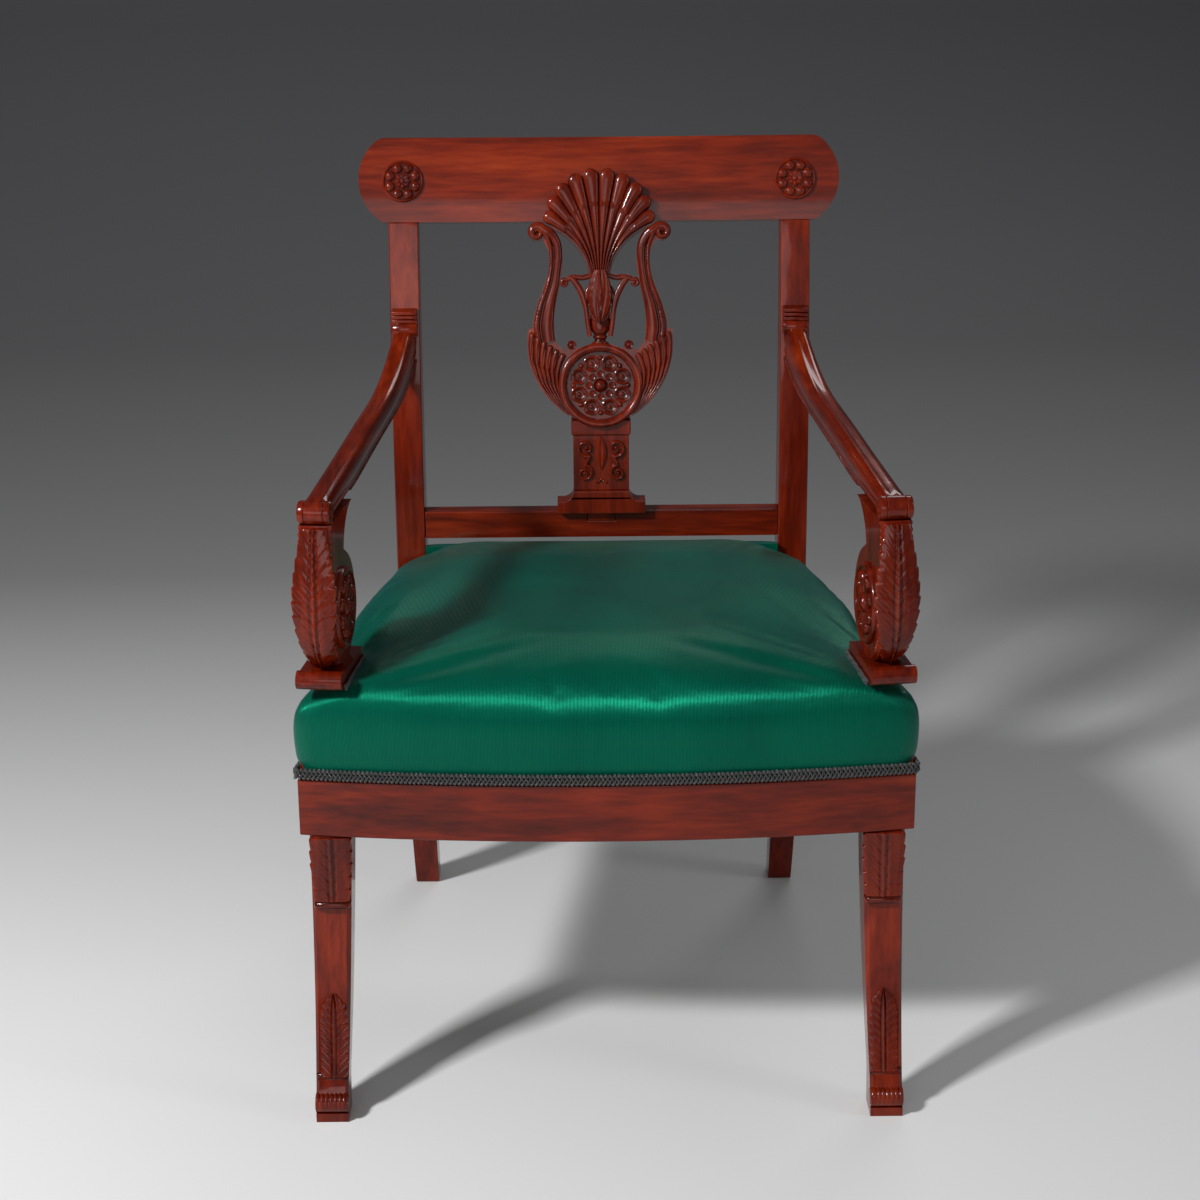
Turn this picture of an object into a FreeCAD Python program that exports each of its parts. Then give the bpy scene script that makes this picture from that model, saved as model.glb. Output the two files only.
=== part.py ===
import FreeCAD, Part
import math
import os
import re
import Sketcher
from FreeCAD import Placement, Rotation, Vector

doc = FreeCAD.newDocument("LyreBackChair")

# Driving sizes in millimetres and degrees. X is right, -Y is the front, Z is up from the floor.
# Right and left are as seen from in front of the chair.
SIZES = [
    ("crest_bottom", 809, "floor to the front lower edge of the crest rail"),
    ("crest_front", 252.7, "Y of that edge where the stiles stand"),
    ("crest_lean", 12.6, "backward lean of the crest rail and the lyre"),
    ("crest_tall", 93, "height of the crest rail along its lean"),
    ("crest_half", 267.5, "half the length of the crest rail"),
    ("crest_thick", 23, "thickness of the crest rail"),
    ("crest_bow", 8, "hollow of the crest rail in plan"),
    ("crest_end_radius", 55, "radius of the rounded ends"),
    ("crest_end_level", 47, "height of the centre of that radius"),
    ("crest_shoulder", 20, "rounding of the upper corners"),
    ("stile_inner", 202, "X of the inner face of the back legs"),
    ("stile_width", 33, "width of a back leg from the seat up"),
    ("foot_taper", 5, "how far the outer face draws in at the floor"),
    ("stile_front", 210, "Y of the front of the back legs at the seat"),
    ("stile_deep", 40, "depth of the back legs at the seat"),
    ("stile_low", 280, "height where the straight of the back legs starts"),
    ("stile_high", 440, "height where the straight of the back legs ends"),
    ("foot_front", 262, "Y of the front of the back feet"),
    ("foot_deep", 30, "depth of the back feet"),
    ("stay_bottom", 454, "underside of the stay rail"),
    ("stay_tall", 31, "height of the stay rail"),
    ("stay_thick", 24, "thickness of the stay rail"),
    ("stay_inset", 2, "how far the stay rail lies behind the stiles' front"),
    ("joint_gap", 0.15, "clearance all round a tenon"),
    ("tenon_thick", 10, "thickness of the tenons"),
    ("tenon_long", 20, "length of the seat rail tenons"),
    ("short_tenon", 12, "length of the tenons that meet others in a leg"),
    ("tenon_shoulder", 5, "shoulder of a tenon across its width"),
    ("splat_front", 205, "Y of the front of the splat's block"),
    ("splat_deep", 22, "depth of the splat's block"),
    ("base_half", 50, "half the width of the splat's base moulding"),
    ("base_step", 14, "height of the lower step of the base moulding"),
    ("base_tall", 26, "height of the base moulding"),
    ("base_proud", 5, "projection of the base moulding in front of the block"),
    ("block_half", 31.5, "half the width of the splat's block"),
    ("block_tall", 65, "height of the block from the base to its cap"),
    ("cap_tall", 16, "height of the cap band"),
    ("cap_proud", 2, "projection of the cap band"),
    ("lyre_thick", 18, "thickness of the lyre"),
    ("lyre_proud", 1, "lyre's front before the leaning plane of the stiles"),
    ("lyre_drop", 13, "drop from the crest rail to the centres of the lyre's top volutes"),
    ("lyre_volute", 9, "radius of the lyre's top volutes"),
    ("lyre_volute_half", 70, "half the distance between the top volutes"),
    ("lyre_waist", 49, "half the distance between the lyre's arms at the waist"),
    ("lyre_waist_drop", 36, "drop from the crest rail to the waist"),
    ("lyre_arm", 15, "width of the lyre's arms at the waist"),
    ("lyre_foot", 63, "half the distance between the arms where they enter the bowl"),
    ("lyre_foot_wide", 24, "width of the arms there"),
    ("bowl_half", 80.5, "half the width of the bowl"),
    ("bowl_rim", 119, "drop from the crest rail to the rim of the bowl"),
    ("bowl_belly", 11, "height of the bowl's belly above the ring's centre"),
    ("bowl_foot_half", 36, "half the width of the bowl at the ring's foot"),
    ("ring_drop", 183, "drop from the crest rail to the ring's centre"),
    ("ring_radius", 46.5, "outer radius of the ring"),
    ("ring_wide", 7.5, "width of the ring's moulding"),
    ("ring_proud", 5, "projection of the ring's moulding"),
    ("ring_recess", 5, "depth of the recess inside the ring"),
    ("ring_volute", 5, "radius of the small volutes over the ring"),
    ("ring_volute_half", 32, "half the distance between them"),
    ("ring_volute_drop", 138, "drop from the crest rail to their centres"),
    ("reed_count", 6, "reeds on each side of the bowl"),
    ("reed_rise", 3.6, "height of a reed over the bowl"),
    ("reed_inset", 0.8, "ground left free round the reeds"),
    ("patera_petals", 8, "petals of the ring's rosette"),
    ("patera_orbit", 26, "radius on which the petals lie"),
    ("petal_radius", 9.2, "radius of a petal"),
    ("petal_thick", 5, "height of the petals from the bottom of the recess"),
    ("patera_boss", 7.5, "radius of the rosette's centre"),
    ("shell_lobes", 10, "lobes of the shell"),
    ("shell_half", 59, "half the width of the shell"),
    ("shell_high", 57, "height of the shell above the crest rail's lower edge"),
    ("shell_proud", 7, "projection of the shell's lobes"),
    ("shell_spread", 189, "angle that the shell's fan spans"),
    ("lobe_gap", 0.05, "share of a lobe's width left free on each of its sides"),
    ("stem_half", 11, "half the width of the shell's stem"),
    ("stem_low", 64, "drop from the crest rail to the foot of the stem"),
    ("calyx_scroll_half", 38.6, "half the distance between the calyx scrolls"),
    ("calyx_scroll_drop", 68.5, "drop from the crest rail to their centres"),
    ("calyx_scroll", 5.2, "radius of the calyx scrolls"),
    ("calyx_arch_drop", 58.5, "drop from the crest rail to the top of the calyx's arches"),
    ("calyx_half", 13.5, "half the width of the calyx's body"),
    ("calyx_low", 116, "drop from the crest rail to the bottom of that body"),
    ("calyx_neck", 9, "radius of the collar under the calyx"),
    ("leaf_thick", 3, "thickness of the calyx's leaf"),
    ("calyx_thick", 16, "thickness of the calyx"),
    ("rosette_radius", 23, "radius of the crest rail's rosettes"),
    ("rosette_half", 218.5, "half the distance between the rosettes"),
    ("rosette_level", 45, "height of the rosettes' centres on the crest rail"),
    ("rosette_thick", 4, "thickness of a rosette's plate"),
    ("rosette_beads", 8, "beads on a rosette"),
    ("bead_radius", 5.8, "radius of a bead"),
    ("bead_orbit", 16.2, "radius on which the beads lie"),
    ("seat_half", 300, "half the width of the seat frame at the front"),
    ("seat_front", -245, "Y of the front corners of the seat frame"),
    ("seat_bow", 24, "bow of the front rail"),
    ("rail_bottom", 287, "underside of the seat rails"),
    ("rail_show", 58, "height of the rails' polished face"),
    ("rail_top", 395, "top of the seat rails under the upholstery"),
    ("rail_thick", 30, "thickness of the front rail at its ends"),
    ("side_thick", 28, "thickness of the side rails"),
    ("rear_thick", 28, "thickness of the rear rail"),
    ("rebate", 3, "rebate of the rails behind the cloth"),
    ("brace_leg", 58, "length of a corner block along a rail"),
    ("brace_low", 340, "underside of the corner blocks"),
    ("brace_tall", 42, "height of the corner blocks"),
    ("front_leg_wide", 41, "width of a front leg at the rail"),
    ("front_leg_ankle", 32, "width of a front leg at the ankle"),
    ("front_leg_inset", 9, "front leg's outer face inside the rail's corner"),
    ("front_leg_deep", 46, "depth of a front leg at the rail"),
    ("ankle_deep", 30, "depth of a front leg at the ankle"),
    ("ankle_level", 34, "height of the ankle"),
    ("toe_front", -300, "Y of the front of the toes"),
    ("toe_radius", 9, "radius of the toe's scroll"),
    ("sole_tall", 9, "height of the pad under the toe"),
    ("leg_bevel", 3, "bevel of the front legs' edges"),
    ("arm_root_low", 656, "height of the arm's underside at the back leg"),
    ("arm_root_high", 701, "height of the arm's top at the back leg"),
    ("arm_bend", 152, "distance from the back leg to the end of the arm's sweep"),
    ("arm_bend_low", 624, "height of the arm's underside there"),
    ("arm_bend_high", 652, "height of the arm's top there"),
    ("arm_front_low", 601, "height of the arm's seat on its support"),
    ("arm_seat_back", 55, "length of that seat behind the volute's centre"),
    ("arm_wide", 26, "width of the arm"),
    ("arm_bevel", 5, "bevel of the arm's edges"),
    ("roll_radius", 11, "radius of the arm's front roll"),
    ("roll_ahead", 36, "roll's centre in front of the volute's centre"),
    ("collar_tall", 15, "height of the moulded cap above the arm's root"),
    ("collar_deep", 16, "projection of that cap"),
    ("root_roll", 9, "radius of the roll under that cap"),
    ("root_roll_drop", 7, "drop from the arm's top to the centre of that roll"),
    ("volute_half", 267, "X of the volute's centre"),
    ("volute_back", -205, "Y of the volute's centre"),
    ("volute_level", 508, "height of the volute's centre"),
    ("volute_radius", 57, "radius of the volute"),
    ("volute_thick", 30, "thickness of the volute"),
    ("volute_foot", 455, "height of the volute's foot"),
    ("throat", 12, "distance of the throat behind the volute's centre"),
    ("throat_radius", 48, "radius of the throat"),
    ("volute_bevel", 3, "bevel of the volute's edges"),
    ("boss_radius", 40, "radius of the volute's inner rosette"),
    ("boss_thick", 9, "thickness of that rosette"),
    ("boss_beads", 8, "petals of that rosette"),
    ("plinth_wide", 44, "width of the block under the volute"),
    ("plinth_tall", 14, "height of the block under the volute"),
    ("plinth_ahead", 48, "front roll of that block before the volute's centre"),
    ("plinth_behind", 40, "end of that block behind the volute's centre"),
    ("plinth_roll", 9, "radius of that block's front roll"),
    ("post_wide", 16, "width of the post under the block"),
    ("post_deep", 40, "depth of the post under the block"),
    ("post_out", 11.5, "post's centre outside the volute's centre"),
    ("web_wide", 50, "width of a webbing strip"),
    ("web_thick", 1.2, "thickness of a webbing strip"),
    ("web_count", 5, "strips from front to back"),
    ("web_across", 4, "strips from side to side"),
    ("hessian_thick", 0.8, "thickness of the hessian"),
    ("hessian_inset", 30, "hessian's edge inside the seat frame"),
    ("soft_gap", 0.3, "clearance round the soft pieces"),
    ("cloth_thick", 2, "thickness of the cover with its wadding"),
    ("cushion_shoulder", 441, "height of the cushion's shoulder"),
    ("cushion_top", 467, "height of the cushion's crown"),
    ("cushion_swell", 2.5, "swell of the cushion's sides"),
    ("cushion_pinch", 229, "half the width of the cushion where it is drawn in"),
    ("cushion_lobe", 36, "bulge of the cushion behind the arms' supports"),
    ("tongue_back", 243, "Y of the cushion's back between the back legs"),
    ("gimp_tall", 14, "height of the gimp"),
    ("gimp_thick", 2, "thickness of the gimp"),
]

sheet = doc.addObject("Spreadsheet::Sheet", "Sizes")
for row, (alias, number, note) in enumerate(SIZES, 1):
    sheet.set(f"A{row}", alias)
    sheet.set(f"B{row}", str(number))
    sheet.setAlias(f"B{row}", alias)
    sheet.set(f"C{row}", note)
doc.recompute()

ALIASES = {alias for alias, number, note in SIZES}
FRONT = "XZ_Plane"
SIDE = "YZ_Plane"
PLAN = "XY_Plane"


# Helpers for sizes, sketches and features.
def on_sheet(text):
    """The expression with the sheet's name before each of its aliases."""
    return re.sub(r"[a-z_]+", lambda word: "Sizes." + word[0] if word[0] in ALIASES else word[0], text)


def size(text):
    """The number that an expression over the sheet comes to."""
    result = sheet.evalExpression(on_sheet(text))
    return float(getattr(result, "Value", result))


def bind(item, name, text):
    item.setExpression(name, on_sheet(text))


def new_body(name):
    body = doc.addObject("PartDesign::Body", name)
    body.Label = name
    return body


def new_sketch(body, name, plane, lift="0"):
    """A sketch on one of the body's own planes, lifted along that plane's normal."""
    sketch = body.newObject("Sketcher::SketchObject", body.Name + "_" + name)
    datum = [item for item in body.Origin.OriginFeatures if item.Role == plane][0]
    sketch.AttachmentSupport = (datum, "")
    sketch.MapMode = "FlatFace"
    if lift != "0":
        bind(sketch, "AttachmentOffset.Base.z", lift)
    return sketch


def arc_data(start, end, radius, bulge):
    """Centre, start angle and end angle, anticlockwise, of an arc that bulges to one side."""
    chord = end - start
    left = Vector(-chord.y, chord.x, 0).normalize()
    if bulge == "right":
        left = -left
    half = chord.Length / 2
    centre = (start + end) / 2 - left * math.sqrt(max(radius ** 2 - half ** 2, 0))
    first, last = (end, start) if bulge == "left" else (start, end)
    begin = math.atan2(first.y - centre.y, first.x - centre.x)
    finish = math.atan2(last.y - centre.y, last.x - centre.x)
    if finish < begin:
        finish += 2 * math.pi
    return centre, begin, finish


def pin(sketch, edge, point, across, along):
    """Hold a point of a sketch at the place that two expressions give."""
    for kind, text, axis in (("DistanceX", across, -2), ("DistanceY", along, -1)):
        if text == "0":
            sketch.addConstraint(Sketcher.Constraint("PointOnObject", edge, point, axis))
        else:
            index = sketch.addConstraint(Sketcher.Constraint(kind, -1, 1, edge, point, size(text)))
            bind(sketch, f"Constraints[{index}]", text)


def draw(sketch, corners, bends=None):
    """A closed outline. Each corner is a pair of expressions; bends give an edge's radius and side."""
    bends = bends or {}
    spots = [Vector(size(across), size(along), 0) for across, along in corners]
    count = len(corners)
    ends = []
    for index in range(count):
        start, end = spots[index], spots[(index + 1) % count]
        if index not in bends:
            edge = sketch.addGeometry(Part.LineSegment(start, end))
            ends.append((edge, 1, 2))
            continue
        radius, bulge = bends[index]
        centre, begin, finish = arc_data(start, end, size(radius), bulge)
        circle = Part.Circle(centre, Vector(0, 0, 1), size(radius))
        edge = sketch.addGeometry(Part.ArcOfCircle(circle, begin, finish))
        ends.append((edge, 2, 1) if bulge == "left" else (edge, 1, 2))
    for index in range(count):
        edge, first, last = ends[index]
        following, next_first, next_last = ends[(index + 1) % count]
        sketch.addConstraint(Sketcher.Constraint("Coincident", edge, last, following, next_first))
        pin(sketch, edge, first, *corners[index])
        if index in bends:
            held = sketch.addConstraint(Sketcher.Constraint("Radius", edge, size(bends[index][0])))
            bind(sketch, f"Constraints[{held}]", bends[index][0])


def draw_box(sketch, left, right, low, high):
    draw(sketch, [(left, low), (right, low), (right, high), (left, high)])


def draw_circle(sketch, across, along, radius):
    centre = Vector(size(across), size(along), 0)
    edge = sketch.addGeometry(Part.Circle(centre, Vector(0, 0, 1), size(radius)))
    pin(sketch, edge, 3, across, along)
    held = sketch.addConstraint(Sketcher.Constraint("Radius", edge, size(radius)))
    bind(sketch, f"Constraints[{held}]", radius)


def pad(body, sketch, length, both_ways=False, backward=False):
    feature = body.newObject("PartDesign::Pad", sketch.Name + "_pad")
    feature.Profile = sketch
    bind(feature, "Length", length)
    feature.SideType = "Symmetric" if both_ways else "One side"
    feature.Reversed = backward
    sketch.Visibility = False
    return feature


def pocket(body, sketch, depth, both_ways=False, backward=False):
    feature = body.newObject("PartDesign::Pocket", sketch.Name + "_pocket")
    feature.Profile = sketch
    bind(feature, "Length", depth)
    feature.SideType = "Symmetric" if both_ways else "One side"
    feature.Reversed = backward
    sketch.Visibility = False
    return feature


def round_edges(body, base, radius, chosen):
    """Fillet those edges of a feature that a test picks by their shape."""
    doc.recompute()
    names = [f"Edge{i}" for i, edge in enumerate(base.Shape.Edges, 1) if chosen(edge)]
    feature = body.newObject("PartDesign::Fillet", base.Name + "_round")
    feature.Base = (base, names)
    bind(feature, "Radius", radius)
    return feature


def bevel_edges(body, base, width, chosen):
    """Chamfer those edges of a feature that a test picks by their shape."""
    doc.recompute()
    names = [f"Edge{i}" for i, edge in enumerate(base.Shape.Edges, 1) if chosen(edge)]
    feature = body.newObject("PartDesign::Chamfer", base.Name + "_bevel")
    feature.Base = (base, names)
    bind(feature, "Size", width)
    return feature


def mirror(source, name):
    """The left-hand twin of a right-hand piece."""
    twin = doc.addObject("Part::Mirroring", name)
    twin.Label = name
    twin.Source = source
    twin.Normal = Vector(1, 0, 0)
    return twin


def solid_piece(name, shape):
    piece = doc.addObject("Part::Feature", name)
    piece.Label = name
    piece.Shape = shape
    return piece


def flat_face(spots, bends=None):
    """A face in the XY plane from corner points, with radius and side for each curved edge."""
    bends = bends or {}
    edges = []
    for index, start in enumerate(spots):
        end = spots[(index + 1) % len(spots)]
        if index in bends:
            radius, bulge = bends[index]
            centre, begin, finish = arc_data(start, end, radius, bulge)
            circle = Part.Circle(centre, Vector(0, 0, 1), radius)
            edges.append(Part.ArcOfCircle(circle, begin, finish).toShape())
        else:
            edges.append(Part.LineSegment(start, end).toShape())
    return Part.Face(Part.Wire(Part.sortEdges(edges)[0]))


# Places that several pieces share.
STILE_OUTER = "(stile_inner + stile_width)"
STILE_MID = "(stile_inner + stile_width/2)"
STILE_BACK = "(stile_front + stile_deep)"
STAY_TOP = "(stay_bottom + stay_tall)"
STAY_FRONT = "(stile_front + stay_inset)"
BLOCK_BOTTOM = "(stay_bottom + stay_tall + base_tall)"
BLOCK_TOP = "(stay_bottom + stay_tall + base_tall + block_tall + cap_tall)"
SHOW_TOP = "(rail_bottom + rail_show)"
RAIL_BACK = "(seat_front + rail_thick)"
SIDE_SLOPE = "((seat_half - stile_inner - stile_width)/(stile_front - seat_front))"
TENON_SIDE = "(stile_inner + stile_width - side_thick/2)"
FRONT_TENON = f"(seat_half - rail_thick*{SIDE_SLOPE} - side_thick/2)"
SPLAT_MID = "(splat_front + splat_deep/2)"
CREST_END = f"(crest_bow*(1 - {STILE_MID}^2/crest_half^2))"
SPLAT_TENON_DEEP = f"(-crest_thick/2 - crest_bow + {CREST_END})"

lean = size("crest_lean")
LEANING = Placement(
    Vector(0, size("crest_front"), size("crest_bottom")),
    Rotation(Vector(1, 0, 0), 90 - lean),
)


def leaning(across, along, out=0.0):
    """A place on the leaning back: X, height from the crest rail's lower edge, and projection."""
    return LEANING.multiply(Placement(Vector(across, along, out), Rotation()))


def arc_radius(rise, run):
    """Radius of an arc that leaves its tangent by one distance over a run."""
    return f"(({rise})^2 + ({run})^2)/(2*({rise}))"


STILE_CURVE = "(" + arc_radius("crest_front - stile_front", "crest_bottom - stile_high") + ")"


def stile_face(level):
    """Y of the front of the stiles at a height above the seat."""
    return f"(stile_front + {STILE_CURVE} - sqrt({STILE_CURVE}^2 - (({level}) - stile_high)^2))"


ARM_ROOT = stile_face("(arm_root_low + arm_root_high)/2")
SPLAY = f"((volute_half - {STILE_MID})/({ARM_ROOT} - volute_back))"
splay = math.degrees(math.atan(size(SPLAY)))
SPLAYED = Placement(
    Vector(size("volute_half"), size("volute_back"), 0),
    Rotation(Vector(0, 0, 1), splay),
)


# The crest rail is a hollowed tablet, cut out of a curved strip, with a mortise for each stile.
def crest_rail():
    body = new_body("crest_rail")
    end_out = CREST_END
    bow = arc_radius("crest_bow", "crest_half")
    strip = new_sketch(body, "plan", FRONT)
    draw(
        strip,
        [
            ("-crest_half", end_out),
            ("-crest_half", f"{end_out} - crest_thick"),
            ("crest_half", f"{end_out} - crest_thick"),
            ("crest_half", end_out),
        ],
        {1: (bow, "right"), 3: (bow, "left")},
    )
    pad(body, strip, "crest_tall", backward=True)

    trim = new_sketch(body, "outline", PLAN)
    draw_box(trim, "-crest_half*1.2", "crest_half*1.2", "-crest_tall/2", "crest_tall*1.5")
    low_half = "crest_half - crest_end_radius + sqrt(crest_end_radius^2 - crest_end_level^2)"
    high_half = (
        "crest_half - crest_end_radius + sqrt(crest_end_radius^2 - (crest_tall - crest_end_level)^2)"
    )
    draw(
        trim,
        [
            (f"-({low_half})", "0"),
            (low_half, "0"),
            (high_half, "crest_tall"),
            (f"-({high_half})", "crest_tall"),
        ],
        {1: ("crest_end_radius", "right"), 3: ("crest_end_radius", "right")},
    )
    tablet = pocket(body, trim, "crest_thick*4", both_ways=True)

    top = size("crest_tall")

    def upper_corner(edge):
        box = edge.BoundBox
        return box.XLength < 0.1 and box.YLength < 0.1 and box.YMin > top - 0.1

    round_edges(body, tablet, "crest_shoulder", upper_corner)

    for side in ("-", ""):
        mortise = new_sketch(body, "left_mortise" if side else "right_mortise", FRONT)
        draw_tenon(mortise, f"{side}(stile_inner + stile_width/2)", "-crest_thick/2",
                   "stile_width - 2*tenon_shoulder", "joint_gap")
        pocket(body, mortise, "tenon_long + joint_gap")
    slot = new_sketch(body, "splat_mortise", FRONT)
    draw_tenon(slot, "0", SPLAT_TENON_DEEP, "2*stem_half", "joint_gap")
    pocket(body, slot, "short_tenon + joint_gap")
    body.Placement = LEANING


def draw_tenon(sketch, across, deep, wide, grow="0"):
    """The rectangle of a tenon, or of its mortise with the joint's clearance."""
    half = f"(({wide})/2 + {grow})"
    thick = f"(tenon_thick/2 + {grow})"
    draw_box(sketch, f"{across} - {half}", f"{across} + {half}", f"{deep} - {thick}", f"{deep} + {thick}")


# A back leg and its stile are one sabre-shaped piece, sawn from the side and tapered at the foot.
def back_leg():
    body = new_body("right_back_leg")
    top_back = "crest_front + crest_thick*cos(crest_lean*1deg)"
    top_low = "crest_bottom - crest_thick*sin(crest_lean*1deg)"
    upper_front = arc_radius("crest_front - stile_front", "crest_bottom - stile_high")
    upper_back = arc_radius(f"{top_back} - stile_front - stile_deep", f"{top_low} - stile_high")
    lower_front = arc_radius("foot_front - stile_front", "stile_low")
    lower_back = arc_radius("foot_front + foot_deep - stile_front - stile_deep", "stile_low")
    profile = new_sketch(body, "profile", SIDE, "stile_inner")
    draw(
        profile,
        [
            ("foot_front", "0"),
            ("foot_front + foot_deep", "0"),
            (STILE_BACK, "stile_low"),
            (STILE_BACK, "stile_high"),
            (top_back, top_low),
            ("crest_front", "crest_bottom"),
            ("stile_front", "stile_high"),
            ("stile_front", "stile_low"),
        ],
        {
            1: (lower_back, "left"),
            3: (upper_back, "left"),
            5: (upper_front, "right"),
            7: (lower_front, "right"),
        },
    )
    pad(body, profile, "stile_width")

    tenon = new_sketch(body, "tenon", SIDE, "stile_inner + tenon_shoulder")
    inward = "(crest_thick - tenon_thick)/2"
    draw(tenon, lean_box(inward, f"{inward} + tenon_thick", "-tenon_shoulder", "tenon_long"))
    pad(body, tenon, "stile_width - 2*tenon_shoulder")

    taper = new_sketch(body, "taper", FRONT)
    draw(taper, [
        (f"{STILE_OUTER} - foot_taper", "0"),
        (f"{STILE_OUTER} + foot_taper", "0"),
        (f"{STILE_OUTER} + foot_taper", "rail_bottom"),
        (STILE_OUTER, "rail_bottom"),
    ])
    pocket(body, taper, "foot_front*4", both_ways=True)

    stay = new_sketch(body, "stay_mortise", SIDE, "stile_inner")
    draw_mortise(stay, f"{STAY_FRONT} + stay_thick/2", "stay_bottom", STAY_TOP)
    pocket(body, stay, "tenon_long + joint_gap", backward=True)
    rear = new_sketch(body, "rear_mortise", SIDE, "stile_inner")
    draw_mortise(rear, "stile_front + rear_thick/2", SHOW_TOP, "rail_top")
    pocket(body, rear, "short_tenon + joint_gap", backward=True)
    side = new_sketch(body, "side_mortise", FRONT, "-stile_front")
    draw_mortise(side, TENON_SIDE, "rail_bottom", SHOW_TOP)
    pocket(body, side, "tenon_long + joint_gap")
    housing = new_sketch(body, "arm_mortise", FRONT, "-stile_front")
    draw_mortise(housing, STILE_MID, "arm_root_low", "arm_root_high")
    pocket(body, housing, f"{ARM_ROOT} - stile_front + short_tenon + joint_gap")
    mirror(body, "left_back_leg")


def lean_box(near, far, low, high):
    """Corners, in the side view, of a box on the leaning back of the chair."""
    def corner(deep, along):
        return (
            f"crest_front + ({along})*sin(crest_lean*1deg) + ({deep})*cos(crest_lean*1deg)",
            f"crest_bottom + ({along})*cos(crest_lean*1deg) - ({deep})*sin(crest_lean*1deg)",
        )
    return [corner(near, low), corner(far, low), corner(far, high), corner(near, high)]


def draw_mortise(sketch, across, low, high, grow="joint_gap"):
    """A mortise, or with no growth a tenon, that keeps a shoulder below and above."""
    draw_box(
        sketch,
        f"{across} - tenon_thick/2 - {grow}",
        f"{across} + tenon_thick/2 + {grow}",
        f"{low} + tenon_shoulder - {grow}",
        f"{high} - tenon_shoulder + {grow}",
    )


# The stay rail runs between the stiles and carries the splat.
def stay_rail():
    body = new_body("stay_rail")
    section = new_sketch(body, "section", SIDE)
    draw_box(section, STAY_FRONT, f"{STAY_FRONT} + stay_thick", "stay_bottom", STAY_TOP)
    pad(body, section, "2*stile_inner", both_ways=True)
    tenon = new_sketch(body, "tenon", SIDE)
    draw_mortise(tenon, f"{STAY_FRONT} + stay_thick/2", "stay_bottom", STAY_TOP, "0")
    pad(body, tenon, "2*(stile_inner + tenon_long)", both_ways=True)
    slot = new_sketch(body, "splat_mortise", PLAN, STAY_TOP)
    draw_tenon(slot, "0", SPLAT_MID, "block_half", "joint_gap")
    pocket(body, slot, "short_tenon + joint_gap")


# The splat's base moulding and its block, with a tenon through the base into the stay rail.
def splat_base():
    body = new_body("splat_base")
    outline = new_sketch(body, "outline", FRONT, "-(splat_front - base_proud)")
    low = STAY_TOP
    step = f"{STAY_TOP} + base_step"
    hollow = "(base_tall - base_step)"
    inner = f"block_half + {hollow}"
    draw(
        outline,
        [
            ("-base_half", low),
            ("base_half", low),
            ("base_half", step),
            (inner, step),
            ("block_half", BLOCK_BOTTOM),
            ("-block_half", BLOCK_BOTTOM),
            (f"-({inner})", step),
            ("-base_half", step),
        ],
        {3: (hollow, "left"), 5: (hollow, "left")},
    )
    pad(body, outline, "splat_deep + base_proud", backward=True)
    slot = new_sketch(body, "slot", PLAN, STAY_TOP)
    draw_tenon(slot, "0", SPLAT_MID, "block_half", "joint_gap")
    pocket(body, slot, "base_tall*2", both_ways=True)

    body = new_body("splat_plinth")
    outline = new_sketch(body, "outline", FRONT, "-splat_front")
    draw_box(outline, "-block_half", "block_half", BLOCK_BOTTOM, BLOCK_TOP)
    pad(body, outline, "splat_deep", backward=True)
    band = new_sketch(body, "band", FRONT, "-(splat_front - cap_proud)")
    draw_box(band, "-(block_half + cap_proud)", "block_half + cap_proud",
             f"{BLOCK_TOP} - cap_tall", BLOCK_TOP)
    pad(body, band, "splat_deep + cap_proud", backward=True)
    tenon = new_sketch(body, "tenon", PLAN, BLOCK_BOTTOM)
    draw_tenon(tenon, "0", SPLAT_MID, "block_half")
    pad(body, tenon, "base_tall + short_tenon", backward=True)
    slot = new_sketch(body, "lyre_mortise", PLAN, BLOCK_TOP)
    draw_tenon(slot, "0", SPLAT_MID, "block_half", "joint_gap")
    pocket(body, slot, "short_tenon + joint_gap")


# The lyre is sawn from one board that leans with the back: two arms, a bowl and a ring, with reeds.
def curve(spots):
    """A smooth line through a few places, made of arcs that run into each other."""
    spline = Part.BSplineCurve()
    spline.interpolate(spots)
    return [arc.toShape() for arc in spline.toBiArcs(size("joint_gap"))]


def line(start, end):
    return Part.LineSegment(start, end).toShape()


def plate(edges, front, thick):
    """A board of a thickness behind its front, sawn to an outline."""
    face = Part.Face(Part.Wire(Part.sortEdges(edges)[0]))
    board = face.extrude(Vector(0, 0, -thick))
    board.translate(Vector(0, 0, front))
    return board


def flip(shape):
    return shape.mirror(Vector(), Vector(1, 0, 0))


def lyre_arm():
    """The board of the right arm with the volute at its top."""
    thick = size("lyre_thick")
    volute = size("lyre_volute")
    eye = Vector(size("lyre_volute_half"), -size("lyre_drop"), 0)
    waist = Vector(size("lyre_waist"), -size("lyre_waist_drop"), 0)
    foot = Vector(size("lyre_foot"), -size("bowl_rim"), 0)
    arm = Vector(size("lyre_arm") / 2, 0, 0)
    wide = Vector(size("lyre_foot_wide") / 2, 0, 0)
    between = waist + (foot - waist) * 0.45 + Vector(-volute * 0.12, 0, 0)
    girth = arm * 1.15
    hook = eye + Vector(-volute * 0.6, -volute * 0.8, 0)
    top = eye + Vector(0, volute, 0)
    shoulder = eye + Vector(-volute * 1.75, volute * 0.45, 0)
    outer = curve([hook, waist + arm, between + girth, foot + wide])
    inner = curve([foot - wide, between - girth, waist - arm, shoulder])
    scroll = Part.Arc(top, eye + Vector(volute, 0, 0), hook).toShape()
    return plate(
        outer + inner + [line(foot + wide, foot - wide), line(shoulder, top), scroll], 0, thick
    )


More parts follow.
